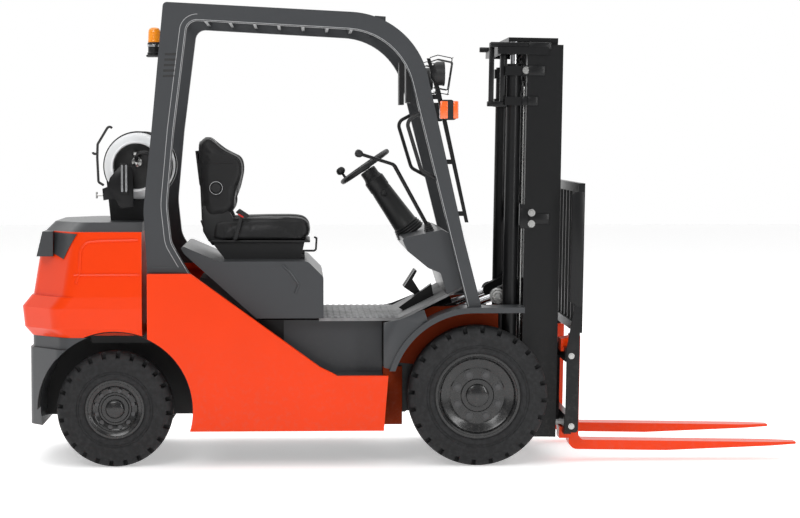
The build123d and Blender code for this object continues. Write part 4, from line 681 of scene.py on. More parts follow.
def build_tyre(end, side_name, side):
    """A solid tyre: moulded rings on the walls and slots cut across both shoulders, staggered."""
    x, track, z, radius, half, rim = AXLES[end]
    flank = tyre_flank(radius, half, rim)
    section = flank + [(-along, reach) for along, reach in reversed(flank)]
    shape = bmesh.new()
    rings = []
    for angle, cut in tyre_steps(radius):
        ring = []
        for along, reach in section:
            if cut and along * cut > half - SLOT_REACH + 0.001:
                reach = min(reach, radius - SLOT_DEPTH)
            across, up = reach * cos(angle), reach * sin(angle)
            ring.append(shape.verts.new((x + across, side * track + along, z + up)))
        rings.append(ring)
    skin(shape, rings + rings[:1])
    node = f"tyre_{end}_{side_name}"
    add_shape(node + "_solid", shape, "tyre", f"{end}_wheel_{side_name}", (node,))


def build_wheel(end, side_name, side):
    """A pressed wheel with rolled rim, dished disc, nuts and hub cap."""
    x, track, z = AXLES[end][:3]
    count, ring, depth, size = WHEEL_NUTS[end]
    body, way = f"{end}_wheel_{side_name}", (0, side, 0)
    turned = (RIM_SECTIONS[end], (x, side * track, z), way, RIM_STEPS)
    add_turned(f"rim_{end}_{side_name}", "rim", [turned], body, (f"wheel_{end}_{side_name}",))
    places = []
    for i in range(count):
        angle = 2 * pi * (i + 0.5) / count
        across, up = ring * cos(angle), ring * sin(angle)
        places.append((Vector((x + across, side * (track + depth), z + up)), way))
    add_bolts(f"wheel_nuts_{end}_{side_name}", places, size, "iron", body)


def build_wheels():
    for side_name, side in SIDES:
        for end in AXLES:
            build_tyre(end, side_name, side)
            build_wheel(end, side_name, side)


# Steering wheel, column and levers
COLUMN_TOP = truck(-0.498, 0, 1.367)
COLUMN_FOOT = truck(-0.276, 0, 1.05)
COLUMN_LENGTH = (COLUMN_TOP - COLUMN_FOOT).length
COLUMN_WAY = (COLUMN_TOP - COLUMN_FOOT).normalized()
COLUMN_CROSS = Vector((COLUMN_WAY.z, 0, -COLUMN_WAY.x))
COLUMN_SECTION = [
    (0.062, 0.012), (0.066, 0.03), (0.064, 0.05), (0.0605, 0.055), (0.0545, 0.15), (0.049, 0.26),
    (0.0475, 0.275), (0.05, 0.28), (0.05, 0.33), (0.044, 0.337), (0.04, 0.35), (0.04, COLUMN_LENGTH - 0.006),
    (0.036, COLUMN_LENGTH - 0.001), (0.013, COLUMN_LENGTH - 0.001),
]
TILT_LOCK_SECTION = [(0.0, 0.0), (0.014, 0.0), (0.015, 0.012), (0.009, 0.018), (0.0, 0.02)]
BOOT_RINGS, BOOT_STEPS = 4, 32
WHEEL_RADIUS = 0.128
WHEEL_LEVEL = 0.019
WHEEL_STEPS = 48
WHEEL_SPOKES = 3
SPINNER_ANGLE = radians(150)
HUB_SECTION = [
    (0.0, 0.032), (0.022, 0.031), (0.032, 0.025), (0.034, 0.004), (0.0145, 0.001), (0.0145, 0.023),
    (0.0, 0.023),
]
SPINNER_SECTION = [
    (0.0, 0.0), (0.007, 0.0), (0.006, 0.03), (0.014, 0.033), (0.021, 0.04), (0.0225, 0.048), (0.02, 0.058),
    (0.013, 0.065), (0.0, 0.067),
]
LEVER_YS = (-0.25, -0.3, -0.35)
COWL_BACK = truck(-0.35, 0, 1.053)
COWL_FRONT = truck(-0.161, 0, 1.095)
BELLOWS_FOLDS = 4
KNOB_SECTION = [
    (0.0, -0.018), (0.009, -0.017), (0.0165, -0.009), (0.019, 0.003), (0.0165, 0.012), (0.008, 0.018),
    (0.0, 0.0185),
]


def round_column(angle, reach, along, start):
    """A point round the column, by its angle, distance from the middle and distance along it."""
    across = COLUMN_CROSS * cos(angle) + Vector((0, 1, 0)) * sin(angle)
    return start + across * reach + COLUMN_WAY * along


def build_steering():
    """A three-spoke wheel with a hub cap and a spinner knob."""
    circle = [round_column(a, WHEEL_RADIUS, WHEEL_LEVEL, COLUMN_TOP) for a in turns(WHEEL_STEPS)]
    rim = [circle + circle[:1]]
    add_bars("steering_rim", rim, 0.0125, 0.0, "plastic", "steering_wheel", 12, ("steering_wheel",))
    spokes = []
    for i in range(WHEEL_SPOKES):
        angle = pi / 3 + 2 * pi * i / WHEEL_SPOKES
        inner = round_column(angle, 0.028, 0.012, COLUMN_TOP)
        spokes.append([inner, round_column(angle, 0.126, WHEEL_LEVEL, COLUMN_TOP)])
    add_bars("steering_spokes", spokes, 0.009, 0.0, "plastic", "steering_wheel")
    spinner = round_column(SPINNER_ANGLE, WHEEL_RADIUS - 0.004, WHEEL_LEVEL, COLUMN_TOP)
    turned = [(HUB_SECTION, COLUMN_TOP, COLUMN_WAY, 32), (SPINNER_SECTION, spinner, COLUMN_WAY, 20)]
    add_turned("steering_hub", "plastic", turned, "steering_wheel")


def build_column():
    """Tapered column cover with a collar, a tilt lock and a rubber boot at its foot."""
    cover = (COLUMN_SECTION, COLUMN_FOOT, COLUMN_WAY, 36)
    add_turned("column_cover", "plastic", [cover], "chassis", ("steering_column",))
    lock = COLUMN_FOOT + COLUMN_WAY * 0.25 + Vector((0, -0.045, 0))
    add_turned("tilt_lock", "plastic", [(TILT_LOCK_SECTION, lock, RIGHT, 20)])
    rings = []
    for i in range(BOOT_RINGS):
        along, reach = 0.024 + 0.012 * i, 0.068 - 0.003 * i
        ring = [round_column(a, reach, along, COLUMN_FOOT) for a in turns(BOOT_STEPS)]
        rings.append(ring + ring[:1])
    add_bars("column_boot", rings, 0.0065, 0.0, "plastic", "chassis")


def build_levers():
    """Bent hydraulic levers with bellows boots and moulded knobs."""
    along = (COWL_FRONT - COWL_BACK).normalized()
    up = Vector((-along.z, 0, along.x))
    bellows = [(0.022, 0.0)]
    for fold in range(BELLOWS_FOLDS):
        taper, level = 0.0025 * fold, 0.01 * fold
        bellows += [(0.022 - taper, 0.003 + level), (0.018 - taper, 0.009 + level)]
    bellows.append((0.0, 0.044))
    knobs, boots, bars = [], [], []
    for y in LEVER_YS:
        base = COWL_BACK + along * 0.14 + Vector((0, y, 0))
        bend, end = truck(-0.38, y, 1.396), truck(-0.545, y, 1.448)
        bars.append([base + up * 0.014, bend, end])
        boots.append((bellows, base, up, 20))
        knobs.append((KNOB_SECTION, end, (end - bend).normalized(), 20))
    add_bars("lever_bars", bars, 0.008, 0.03, "black", "chassis", 12, ("levers",))
    add_turned("lever_knobs", "plastic", knobs)
    add_turned("lever_boots", "plastic", boots)


# Gas tank
TANK = Vector((REAR_X + 0.092, 0, 1.389))
TANK_RADIUS = 0.1574
TANK_SECTION = [
    (0.0, 0.292), (0.03, 0.291), (0.085, 0.284), (0.106, 0.29), (0.1075, 0.345), (0.112, 0.35),
    (0.119, 0.348), (0.12, 0.31), (0.127, 0.304), (0.141, 0.288), (0.15, 0.272), (0.156, 0.25),
    (TANK_RADIUS, 0.235), (TANK_RADIUS, 0.02), (0.1555, 0.016), (0.1555, -0.016), (TANK_RADIUS, -0.02),
    (TANK_RADIUS, -0.235), (0.1545, -0.262), (0.147, -0.29), (0.132, -0.315), (0.108, -0.333), (0.07, -0.345),
    (0.0, -0.35),
]
VALVE = TANK + Vector((0, -0.284, 0.02))
VALVE_SECTION = [
    (0.0, -0.004), (0.024, -0.004), (0.024, 0.012), (0.016, 0.016), (0.016, 0.04), (0.011, 0.044),
    (0.0, 0.045),
]
TAP = VALVE + Vector((0, -0.026, 0))
TAP_SECTION = [
    (0.0, 0.0), (0.01, 0.0), (0.01, 0.03), (0.02, 0.032), (0.021, 0.044), (0.014, 0.048), (0.0, 0.049),
]
GAUGE = TANK + Vector((-0.05, -0.286, -0.03))
GAUGE_SECTION = [(0.0, -0.004), (0.026, -0.004), (0.026, 0.012), (0.023, 0.014), (0.0, 0.0125)]
# A thin dark skin on the collar's inner wall and on the dome inside it: painted shade in the collar
COLLAR_SHADE_SECTION = [
    (0.108, 0.291), (0.108, 0.344), (0.1065, 0.344), (0.1065, 0.293), (0.085, 0.287), (0.03, 0.294),
    (0.0, 0.295), (0.0, 0.2935), (0.03, 0.2925), (0.085, 0.2855),
]


def build_tank():
    """Gas bottle lying across the truck, with a guard collar round its valve and a dark lining inside the
    collar as painted shade.
    """
    add_turned("bottle", "tank", [(TANK_SECTION, TANK, RIGHT, 64)], "chassis", ("gas_tank",))
    valve, tap = (VALVE_SECTION, VALVE, RIGHT, 20), (TAP_SECTION, TAP, UP, 18)
    add_turned("tank_valve", "zinc", [valve, tap, (GAUGE_SECTION, GAUGE, RIGHT, 24)])
    add_turned("collar_shade_lining", "steel", [(COLLAR_SHADE_SECTION, TANK, RIGHT, 48, True)])


# Beacon
BEACON = Vector((REAR_X + 0.183, -0.4, 1.904))
BEACON_STEPS = 36
BEACON_RIBS = 6
BEACON_BASE = [
    (0.0, 0.0), (0.0325, 0.0), (0.0325, 0.012), (0.029, 0.016), (0.029, 0.04), (0.032, 0.044), (0.032, 0.056),
    (0.028, 0.061), (0.0, 0.061),
]
BEACON_RING = [(0.033, 0.041), (0.0335, 0.046), (0.033, 0.05), (0.0315, 0.05), (0.0315, 0.041)]
BEACON_SHELF = 0.008
BEACON_SHELF_YS = (-0.484, -0.366)


def build_beacon():
    """A ribbed lens over a base with a bright ring, on its shelf at the guard."""
    shape = bmesh.new()
    lathe(shape, BEACON_BASE, BEACON, UP, BEACON_STEPS)
    back, front = (corner.x - FRONT_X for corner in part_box("beacon"))
    brick(shape, (back, front), BEACON_SHELF_YS, (BEACON.z - BEACON_SHELF, BEACON.z), truck, 0.002)
    add_shape("beacon_base", shape, "plastic", "chassis", ("beacon",))
    profile = [(0.0, 0.061), (0.0295, 0.061)]
    for rib in range(BEACON_RIBS):
        level, taper = 0.066 + 0.008 * rib, 0.0003 * rib
        profile += [(0.0298 - taper, level), (0.0285 - taper, level + 0.004)]
    profile += [(0.027, 0.115), (0.022, 0.125), (0.014, 0.1295), (0.0, 0.13)]
    add_turned("beacon_lens", "amber", [(profile, BEACON, UP, BEACON_STEPS)])
    add_turned("beacon_ring", "chrome", [(BEACON_RING, BEACON, UP, BEACON_STEPS, True)])


# Lamps
LAMP_Y = 0.506
LAMP_Z = 1.819
LAMP_BACK = -0.22
LAMP_FRONT = -0.153
LAMP_STEPS = 32
LAMP_SHELL = [
    (0.0, LAMP_BACK), (0.018, LAMP_BACK), (0.026, LAMP_BACK + 0.004), (0.048, LAMP_BACK + 0.018),
    (0.055, LAMP_BACK + 0.03), (0.056, LAMP_FRONT - 0.012), (0.058, LAMP_FRONT - 0.009),
    (0.058, LAMP_FRONT - 0.002), (0.05, LAMP_FRONT), (0.05, LAMP_FRONT - 0.006), (0.0, LAMP_FRONT - 0.006),
]
LAMP_LENS = [
    (0.0, LAMP_FRONT - 0.006), (0.0495, LAMP_FRONT - 0.006), (0.045, LAMP_FRONT - 0.001),
    (0.025, LAMP_FRONT + 0.002), (0.0, LAMP_FRONT + 0.003),
]
CAGE_TOP, CAGE_FOOT = 1.904, 1.722
CAGE_OFFSETS = (-0.05, 0.0, 0.05)
CAGE_HALF = 0.056
CAGE_BARS = ((-0.118, 1.89), (-0.128, 1.806), (-0.138, 1.722))
SIGNAL_EDGE = 0.006


def build_lamps():
    """Work lamps with lens, bezel and a wire guard, and turn signals with two lenses, on both stays."""
    shells, lenses, guards, signal = [], [], [], bmesh.new()
    signal_low, signal_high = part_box("turn_signals")
    back, front = signal_low.x - FRONT_X, signal_high.x - FRONT_X
    levels = (signal_low.z + SIGNAL_EDGE, signal_high.z - SIGNAL_EDGE)
    for _, side in SIDES:
        middle = side * LAMP_Y
        shells.append((LAMP_SHELL, truck(0, middle, LAMP_Z), AHEAD, LAMP_STEPS))
        lenses.append((LAMP_LENS, truck(0, middle, LAMP_Z), AHEAD, LAMP_STEPS))
        for offset in CAGE_OFFSETS:
            top, foot = CAGE_TOP - abs(offset) * 0.4, CAGE_FOOT + abs(offset) * 0.4
            wire = [(-0.222, top - 0.012), (-0.185, top), (-0.118, top - 0.014)]
            wire += [(-0.138, foot), (-0.205, foot + 0.012)]
            guards.append(side_path(middle + offset, wire))
        guards += [[truck(x, middle - CAGE_HALF, z), truck(x, middle + CAGE_HALF, z)] for x, z in CAGE_BARS]
        across = span(side, signal_high.y + 0.003, signal_high.y - 0.066)
        for x_range in ((front - 0.018, front + SIGNAL_EDGE), (back - SIGNAL_EDGE, back + 0.03)):
            brick(signal, x_range, across, levels, truck, 0.004)
    add_turned("lamp_shells", "plastic", shells, "chassis", ("work_lamps",))
    add_turned("lamp_lenses", "clear", lenses)
    add_bars("lamp_guards", guards, 0.0022, 0.008, "black", "chassis", 8)
    add_shape("signal_lenses", signal, "signal", "chassis")


# Surfaces and side-view paths
BEND_STEPS = 10


def surface_of(*names):
    """A tree of the CAD nodes' faces, to lay pieces on."""
    points, faces = [], []
    for name in names:
        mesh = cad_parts[name].data
        start = len(points)
        points += [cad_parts[name].matrix_world @ vertex.co for vertex in mesh.vertices]
        faces += [[start + i for i in polygon.vertices] for polygon in mesh.polygons]
    return BVHTree.FromPolygons(points, faces)


def laid_on(surface, points, side, lift=0.0):
    """Points from the side view put on a surface as seen from that side, where the surface is met."""
    laid = []
    for x, z in points:
        hit = surface.ray_cast(truck(x, side * 2.0, z), Vector((0, -side, 0)))[0]
        if hit:
            laid.append(hit + Vector((0, side * lift, 0)))
    return laid


def between(first, last, share):
    """A point of the side view on the way from one to another."""
    return (first[0] + (last[0] - first[0]) * share, first[1] + (last[1] - first[1]) * share)


def aside(points, distance):
    """A side-view path moved sideways to the left of its direction."""
    moved = []
    for i, (x, z) in enumerate(points):
        before, after = points[max(i - 1, 0)], points[min(i + 1, len(points) - 1)]
        way = Vector((after[0] - before[0], after[1] - before[1])).normalized()
        moved.append((x - way.y * distance, z + way.x * distance))
    return moved


def finer(points, step=0.03):
    """A side-view path cut into short steps."""
    cut = [points[0]]
    for first, last in zip(points, points[1:]):
        count = max(1, round(hypot(last[0] - first[0], last[1] - first[1]) / step))
        cut += [between(first, last, i / count) for i in range(1, count + 1)]
    return cut


def bent(points, radii):
    """A side-view path with its corners rounded, each by its own radius."""
    path = []
    for i, (point, radius) in enumerate(zip(points, radii)):
        here = Vector(point)
        if not radius:
            path.append(point)
            continue
        back = (Vector(points[i - 1]) - here).normalized()
        ahead = (Vector(points[i + 1]) - here).normalized()
        half = back.angle(ahead) / 2
        centre = here + (back + ahead).normalized() * (radius / sin(half))
        reach = radius / tan(half)
        first, last = here + back * reach - centre, here + ahead * reach - centre
        for step in range(BEND_STEPS + 1):
            turned = first.slerp(last, step / BEND_STEPS).normalized() * radius
            path.append(tuple(centre + turned))
    return path


def from_rear(*points):
    """Side-view points given from the rear axle, in millimetres, as metres from the front axle."""
    return [(REAR_X - FRONT_X + x / 1000, z / 1000) for x, z in points]


# Seat
SEAT_HALF = 0.238
BACK_HALF = SEAT_HALF - 0.008
CUSHION_MIDDLE = [
    (-1.25, 1.038), (-1.0, 1.038), (-0.8, 1.038), (-0.774, 1.052), (-0.768, 1.085), (-0.782, 1.112),
    (-0.815, 1.122), (-0.95, 1.112), (-1.13, 1.106), (-1.235, 1.112), (-1.248, 1.09), (-1.248, 1.055),
]
CUSHION_EDGE = [
    (-1.25, 1.038), (-1.0, 1.038), (-0.8, 1.038), (-0.772, 1.055), (-0.765, 1.092), (-0.778, 1.126),
    (-0.815, 1.142), (-0.95, 1.143), (-1.13, 1.138), (-1.235, 1.13), (-1.248, 1.1), (-1.248, 1.055),
]
BACK_MIDDLE = [
    (-1.278, 1.134), (-1.288, 1.26), (-1.3, 1.4), (-1.306, 1.49), (-1.294, 1.522), (-1.26, 1.536),
    (-1.225, 1.505), (-1.205, 1.46), (-1.193, 1.42), (-1.18, 1.35), (-1.168, 1.28), (-1.16, 1.22),
    (-1.163, 1.165), (-1.2, 1.136),
]
BACK_EDGE = [
    (-1.278, 1.134), (-1.288, 1.26), (-1.3, 1.4), (-1.306, 1.49), (-1.292, 1.52), (-1.258, 1.534),
    (-1.2, 1.478), (-1.15, 1.452), (-1.106, 1.432), (-1.094, 1.375), (-1.107, 1.31), (-1.124, 1.24),
    (-1.128, 1.18), (-1.175, 1.136),
]
PAD_STEPS = 24
PAD_ROUNDS = 2
PAD_VOXEL = 0.008
PAD_FRAMES = 20
PAD_PRESSURE = 4.0
PAD_CAP = 0.007
PIPING_SHARES = (0.56, 0.985)
SHELL_BACK = [
    (-1.268, 1.134), (-1.289, 1.3), (-1.309, 1.46), (-1.319, 1.46), (-1.3, 1.3), (-1.294, 1.29),
    (-1.29, 1.134),
]
SHELL_TURN = [(-1.296, 1.13), (-1.27, 1.126), (-1.24, 1.04), (-1.2, 1.012), (-1.24, 1.012), (-1.268, 1.05)]
SHELL_CHEEK = [
    (-1.285, 1.2), (-1.2, 1.21), (-1.15, 1.165), (-1.12, 1.09), (-1.14, 1.045), (-1.255, 1.03),
    (-1.283, 1.08),
]
SEAT_KNOB_X, SEAT_KNOB_Z = -1.219, 1.285
SEAT_KNOB_DISC = [(0.0, 0.012), (0.022, 0.012), (0.026, 0.006), (0.026, -0.012), (0.0, -0.012)]
SEAT_KNOB_RING = 0.03
HANDLE = [(-0.83, -0.19, 0.985), (-0.748, -0.19, 0.985), (-0.744, -0.19, 1.045), (-0.752, -0.1, 1.045)]
BUCKLE = [(-1.128, 1.17), (-1.108, 1.188), (-1.062, 1.158), (-1.075, 1.138)]
BUCKLE_STALK = [(-1.14, 1.04), (-1.12, 1.04), (-1.092, 1.15), (-1.108, 1.155)]
BUCKLE_BUTTON = [(-1.118, 1.16), (-1.112, 1.165), (-1.088, 1.15), (-1.093, 1.144)]


def rounded(outline):
    """A closed outline with its corners cut again and again, which makes it smooth."""
    for _ in range(PAD_ROUNDS):
        cut = []
        for first, last in zip(outline, outline[1:] + outline[:1]):
            cut.append((first[0] * 0.75 + last[0] * 0.25, first[1] * 0.75 + last[1] * 0.25))
            cut.append((first[0] * 0.25 + last[0] * 0.75, first[1] * 0.25 + last[1] * 0.75))
        outline = cut
    return outline


def pad_shape(middle, edge, half):
    """A pad whose outline changes from its middle to its bolsters, with rounded ends."""
    middle, edge = rounded(middle), rounded(edge)
    shape = bmesh.new()
    rows = []
    for step in range(-PAD_STEPS, PAD_STEPS + 1):
        across = sin(step / PAD_STEPS * pi / 2)
        raised = min(max((abs(across) - 0.42) / 0.3, 0), 1)
        raised = raised * raised * (3 - 2 * raised)
        outline = [between(first, last, raised) for first, last in zip(middle, edge)]
        centre = Vector((sum(x for x, _ in outline), sum(z for _, z in outline))) / len(outline)
        shrink = max(1 - abs(across) ** 9, 0) ** 0.3 * 0.22 + 0.78
        shrunk = [
            (centre.x + (x - centre.x) * shrink, centre.y + (z - centre.y) * shrink) for x, z in outline
        ]
        rows.append([shape.verts.new(place) for place in side_path(across * half, shrunk)])
    skin(shape, rows)
    shape.faces.new(rows[0])
    shape.faces.new(rows[-1])
    return shape


def inflated(name, shape, held):
    """Blow a pad up with cloth simulation. Points that held names stay, and none moves past the cap."""
    mesh = closed_mesh(name, shape)
    scene = bpy.context.scene
    holder = put(name + "_soft", mesh)

    def baked():
        return bpy.data.meshes.new_from_object(holder.evaluated_get(bpy.context.evaluated_depsgraph_get()))

    remesh = holder.modifiers.new("remesh", "REMESH")
    remesh.mode = "VOXEL"
    remesh.voxel_size = PAD_VOXEL
    holder.data = baked()
    holder.modifiers.clear()
    start = [vertex.co.copy() for vertex in holder.data.vertices]
    group = holder.vertex_groups.new(name="held")
    group.add([i for i, place in enumerate(start) if held(place)], 1.0, "REPLACE")
    cloth = holder.modifiers.new("cloth", "CLOTH")
    cloth.settings.use_pressure = True
    cloth.settings.uniform_pressure_force = PAD_PRESSURE
    cloth.settings.vertex_group_mass = "held"
    cloth.settings.effector_weights.gravity = 0
    cloth.point_cache.frame_end = PAD_FRAMES
    for number in range(1, PAD_FRAMES + 1):
        scene.frame_set(number)
    blown = baked()
    holder.modifiers.clear()
    scene.frame_set(1)
    for vertex, place in zip(blown.vertices, start):
        moved = vertex.co - place
        if moved.length > PAD_CAP:
            vertex.co = place + moved * (PAD_CAP / moved.length)
    holder.data = blown
    smooth = holder.modifiers.new("smooth", "SUBSURF")
    smooth.levels = smooth.render_levels = 1
    made = baked()
    bpy.data.objects.remove(holder)
    made.name = name
    return made


def seam(pad, points):
    """A path pulled onto a pad's face."""
    tree = BVHTree.FromPolygons(
        [vertex.co for vertex in pad.vertices], [list(polygon.vertices) for polygon in pad.polygons]
    )
    return [tree.find_nearest(point)[0] for point in points]


def build_pads():
    """The cushion and the back, with piping sewn along their bolsters and across the back."""
    cushion = inflated(
        "cushion", pad_shape(CUSHION_MIDDLE, CUSHION_EDGE, SEAT_HALF), lambda place: place.z < 1.046
    )
    back = inflated(
        "backrest_pad", pad_shape(BACK_MIDDLE, BACK_EDGE, BACK_HALF),
        lambda place: place.x < FRONT_X - 1.3 or place.z < 1.14,
    )
    seams = []
    for side in (-1, 1):
        for share in PIPING_SHARES:
            edge = [(x, z + 0.02) for x, z in rounded(CUSHION_EDGE)[14:42]]
            seams.append(seam(cushion, side_path(side * share * SEAT_HALF, edge)))
            edge = [(x + 0.02, z) for x, z in rounded(BACK_EDGE)[14:54]]
            seams.append(seam(back, side_path(side * share * BACK_HALF, edge)))
    seams.append(seam(back, [truck(-1.31 + 0.004 * i, -0.26, 1.405) for i in range(44)]))
    for name, mesh, node in (("seat_pad", cushion, "seat_cushion"), ("seat_back_pad", back, "seat_back")):
        add_piece(name, mesh, "vinyl", "hood", (node,))
    add_bars("seat_piping", seams, 0.0028, 0.0, "vinyl", "hood", 8)


def build_seat():
    """Padded seat on its shell, with slide rails, handle, side knobs and a belt buckle."""
    build_pads()
    shell = bmesh.new()
    slab(shell, SHELL_BACK, -0.19, 0.19, truck, 0.002)
    slab(shell, SHELL_TURN, -0.2, 0.2, truck, 0.003)
    brick(shell, (-1.244, -0.775), (-0.228, 0.228), (1.026, 1.037), truck, 0.003)
    for side in (-1, 1):
        brick(shell, (-1.16, -0.8), span(side, 0.17, 0.196), (0.948, 0.966), truck, 0.002)
        slab(shell, SHELL_CHEEK, *span(side, 0.205, 0.226), truck, 0.004)
        lathe(shell, SEAT_KNOB_DISC, truck(SEAT_KNOB_X, side * 0.242, SEAT_KNOB_Z), (0, side, 0), 24)
    add_shape("seat_shell", shell, "plastic", "hood")
    add_bars("seat_slide_handle", [[truck(*place) for place in HANDLE]], 0.005, 0.012, "steel", "hood")
    circle = [
        (SEAT_KNOB_X + SEAT_KNOB_RING * cos(a), SEAT_KNOB_Z + SEAT_KNOB_RING * sin(a)) for a in turns(32)
    ]
    ring = side_path(-0.25, circle)
    add_bars("seat_knob_ring", [ring + ring[:1]], 0.0015, 0.0, "trim", "hood", 8)
    buckle, button = bmesh.new(), bmesh.new()
    slab(buckle, BUCKLE, -0.266, -0.244, truck, 0.004)
    slab(buckle, BUCKLE_STALK, -0.262, -0.25, truck, 0.003)
    add_shape("belt_buckle", buckle, "plastic", "hood")
    slab(button, BUCKLE_BUTTON, -0.2675, -0.26, truck, 0.001)
    add_shape("belt_button", button, "red", "hood")


# Chains
CHAIN_PITCH = 0.0381
CHAIN_SPREAD = 0.0037
CHAIN_PLATES = (-3, -1, 1, 3)
CHAIN_PLATE_SIZE = (0.011, 0.0026, CHAIN_PITCH * 1.24)
CHAIN_PIN_SIZE = (0.005, 0.031, 0.005)
CHAIN_Y = 0.15
CHAIN_FRONT = 0.332
CHAIN_BACK = 0.232
CHAIN_TOP = 1.908
CHAIN_FOOT = 0.345
CHAIN_TIE = 1.715
SHEAVE_X = 0.282
SHEAVE_RADIUS = 0.05
SHEAVE_LINKS = 5


def make_link_form():
    """Leaf chain: a stack of plates with a pin through them at each point."""
    form = Form("chain_links")
    spread = form.entry("Spread", "Float", 0.004)
    links = []
    for number in CHAIN_PLATES:
        across = form.node("ShaderNodeCombineXYZ", None, {"Y": form.times(spread, number)})
        plate = form.node("GeometryNodeMeshCube", None, {"Size": CHAIN_PLATE_SIZE})
        links.append(form.node("GeometryNodeSetPosition", None, {"Geometry": plate, "Offset": across}))
    links.append(form.node("GeometryNodeMeshCube", None, {"Size": CHAIN_PIN_SIZE}))
    form.repeat(links)
    return form


def build_chains():
    """Lift chains over the sheaves."""
    form = make_link_form()
    up = on_mast(0, 0, 1) - on_mast(0, 0, 0)

    def run(name, x, low, high, node):
        count = round((high - low) / CHAIN_PITCH)
        rows = [
            (on_mast(x, side * CHAIN_Y, low + (high - low) * (i + 0.5) / count), up)
            for side in (-1, 1) for i in range(count)
        ]
        return form.grow(name, point_mesh(rows), "steel", None, {"Spread": CHAIN_SPREAD}, (node,))

    front = run("chain_front", CHAIN_FRONT, CHAIN_FOOT, CHAIN_TOP, "chains_front")
    on_mast(CHAIN_FRONT, 0, CHAIN_TOP)
    on_mast(CHAIN_FRONT, 0, CHAIN_FOOT)
    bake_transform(front)
    back = run("chain_back", CHAIN_BACK, CHAIN_TIE, CHAIN_TOP, "chains_rear")
    on_mast(CHAIN_BACK, 0, CHAIN_TIE)
    on_mast(CHAIN_BACK, 0, CHAIN_TOP)
    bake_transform(back)
    rows = []
    for side in (-1, 1):
        for i in range(SHEAVE_LINKS):
            angle = pi * (i + 0.5) / SHEAVE_LINKS
            x, z = SHEAVE_X + SHEAVE_RADIUS * cos(angle), CHAIN_TOP + SHEAVE_RADIUS * sin(angle)
            way = on_mast(-sin(angle), 0, cos(angle)) - on_mast(0, 0, 0)
            rows.append((on_mast(x, side * CHAIN_Y, z), way))
    form.grow("chain_over_sheaves", point_mesh(rows), "steel", "inner_mast", {"Spread": CHAIN_SPREAD})


# Mast and carriage trim
RAIL_OUTSIDE = 0.3655
BRACKET_FACE = 0.373
BRACKETS = (
    ((0.222, 0.329), (1.94, 1.972)), ((0.222, 0.3), (1.816, 1.863)), ((0.222, 0.269), (1.675, 1.718)),
    ((0.236, 0.334), (1.12, 1.169)),
)
BRACKET_PADS = (
    ((0.196, 0.262), (1.097, 1.194)), ((0.196, 0.24), (1.816, 1.863)), ((0.196, 0.24), (1.675, 1.718)),
)
BRACKET_PAD_FACE = 0.3665
MAST_BOLTS = ((0.25, BRACKET_FACE, 1.12), (0.25, BRACKET_FACE, 1.172), (0.212, BRACKET_PAD_FACE, 1.84))
GUIDE_XS = (0.052, 0.105)
PIPE_X, PIPE_Y, PIPE_TURN_Y = 0.2075, 0.336, 0.315
TILT_PIN_X, TILT_PIN_Z = 0.106, 0.771
TILT_PIN_SECTION = [
    (0.0, 0.006), (0.012, 0.006), (0.015, 0.003), (0.016, 0.001), (0.026, 0.001), (0.03, 0.007),
    (0.036, 0.007), (0.038, 0.003), (0.038, -0.003), (0.0, -0.003),
]
CARRIAGE_BOLTS = ((0.44, 0.506), (0.44, 0.177))
LATCH_SECTION = [
    (0.0, -0.004), (0.012, -0.004), (0.012, 0.01), (0.007, 0.013), (0.007, 0.026), (0.013, 0.03),
    (0.014, 0.04), (0.009, 0.045), (0.0, 0.046),
]
BACKREST_CHEEK = [
    (0.424, 0.765), (0.46, 0.742), (0.482, 0.742), (0.482, 1.277), (0.434, 1.277), (0.424, 1.262),
]


def build_mast_trim():
    """Brackets, bolts, pipes and the hose guide on the mast."""
    plates, bolts, pipes = bmesh.new(), [], []
    for side in (-1, 1):
        for x_range, z_range in BRACKETS:
            brick(plates, x_range, span(side, RAIL_OUTSIDE, BRACKET_FACE), z_range, on_mast, 0.003)
        for x_range, z_range in BRACKET_PADS:
            brick(plates, x_range, span(side, 0.352, BRACKET_PAD_FACE), z_range, on_mast, 0.003)
        brick(plates, (0.043, 0.3), span(side, 0.33, RAIL_OUTSIDE), (1.945, 1.97), on_mast, 0.003)
        for x, y, z in MAST_BOLTS:
            bolts.append((on_mast(x, side * y, z), (0, side, 0)))
        pipe = side_path(side * PIPE_Y, [(PIPE_X, 0.42), (PIPE_X, 1.1), (PIPE_X, 1.76)], on_mast)
        pipes.append(pipe + [on_mast(PIPE_X, side * PIPE_TURN_Y, 1.78)])
    for x in GUIDE_XS:
        brick(plates, (x - 0.012, x + 0.012), (-0.33, -0.306), (1.69, 1.968), on_mast, 0.003)
    brick(plates, (0.034, 0.125), (-0.34, -0.3), (1.668, 1.692), on_mast, 0.003)
    add_shape("mast_brackets", plates, "black", "mast")
    add_bolts("mast_bolts", bolts, 0.024, "zinc", "mast")
    add_bars("mast_pipes", pipes, 0.0055, 0.012, "zinc", "mast")
    surface, pins = surface_of("mast_outer", "tilt_rods"), []
    for side in (-1, 1):
        place = surface.ray_cast(on_mast(TILT_PIN_X, side * 0.6, TILT_PIN_Z), Vector((0, -side, 0)))[0]
        pins.append((TILT_PIN_SECTION, place, (0, side, 0), 28))
    add_turned("tilt_pins", "zinc", pins, "mast")


def build_carriage_trim():
    """Bolts on the carriage, a latch on each fork and deep cheeks on the backrest's posts."""
    surface = surface_of("carriage", "backrest")
    bolts = [(place, (0, side, 0)) for side in (-1, 1) for place in laid_on(surface, CARRIAGE_BOLTS, side)]
    add_bolts("carriage_bolts", bolts, 0.02, "zinc", "carriage")
    for side_name, side in SIDES:
        latch = (LATCH_SECTION, on_mast(0.466, side * 0.35, 0.604), UP, 20)
        add_turned(f"fork_latch_{side_name}", "steel", [latch], f"fork_{side_name}")
    add_plates("backrest_cheeks", BACKREST_CHEEK, 0.4985, 0.5135, "black", "carriage", on_mast, 0.002)


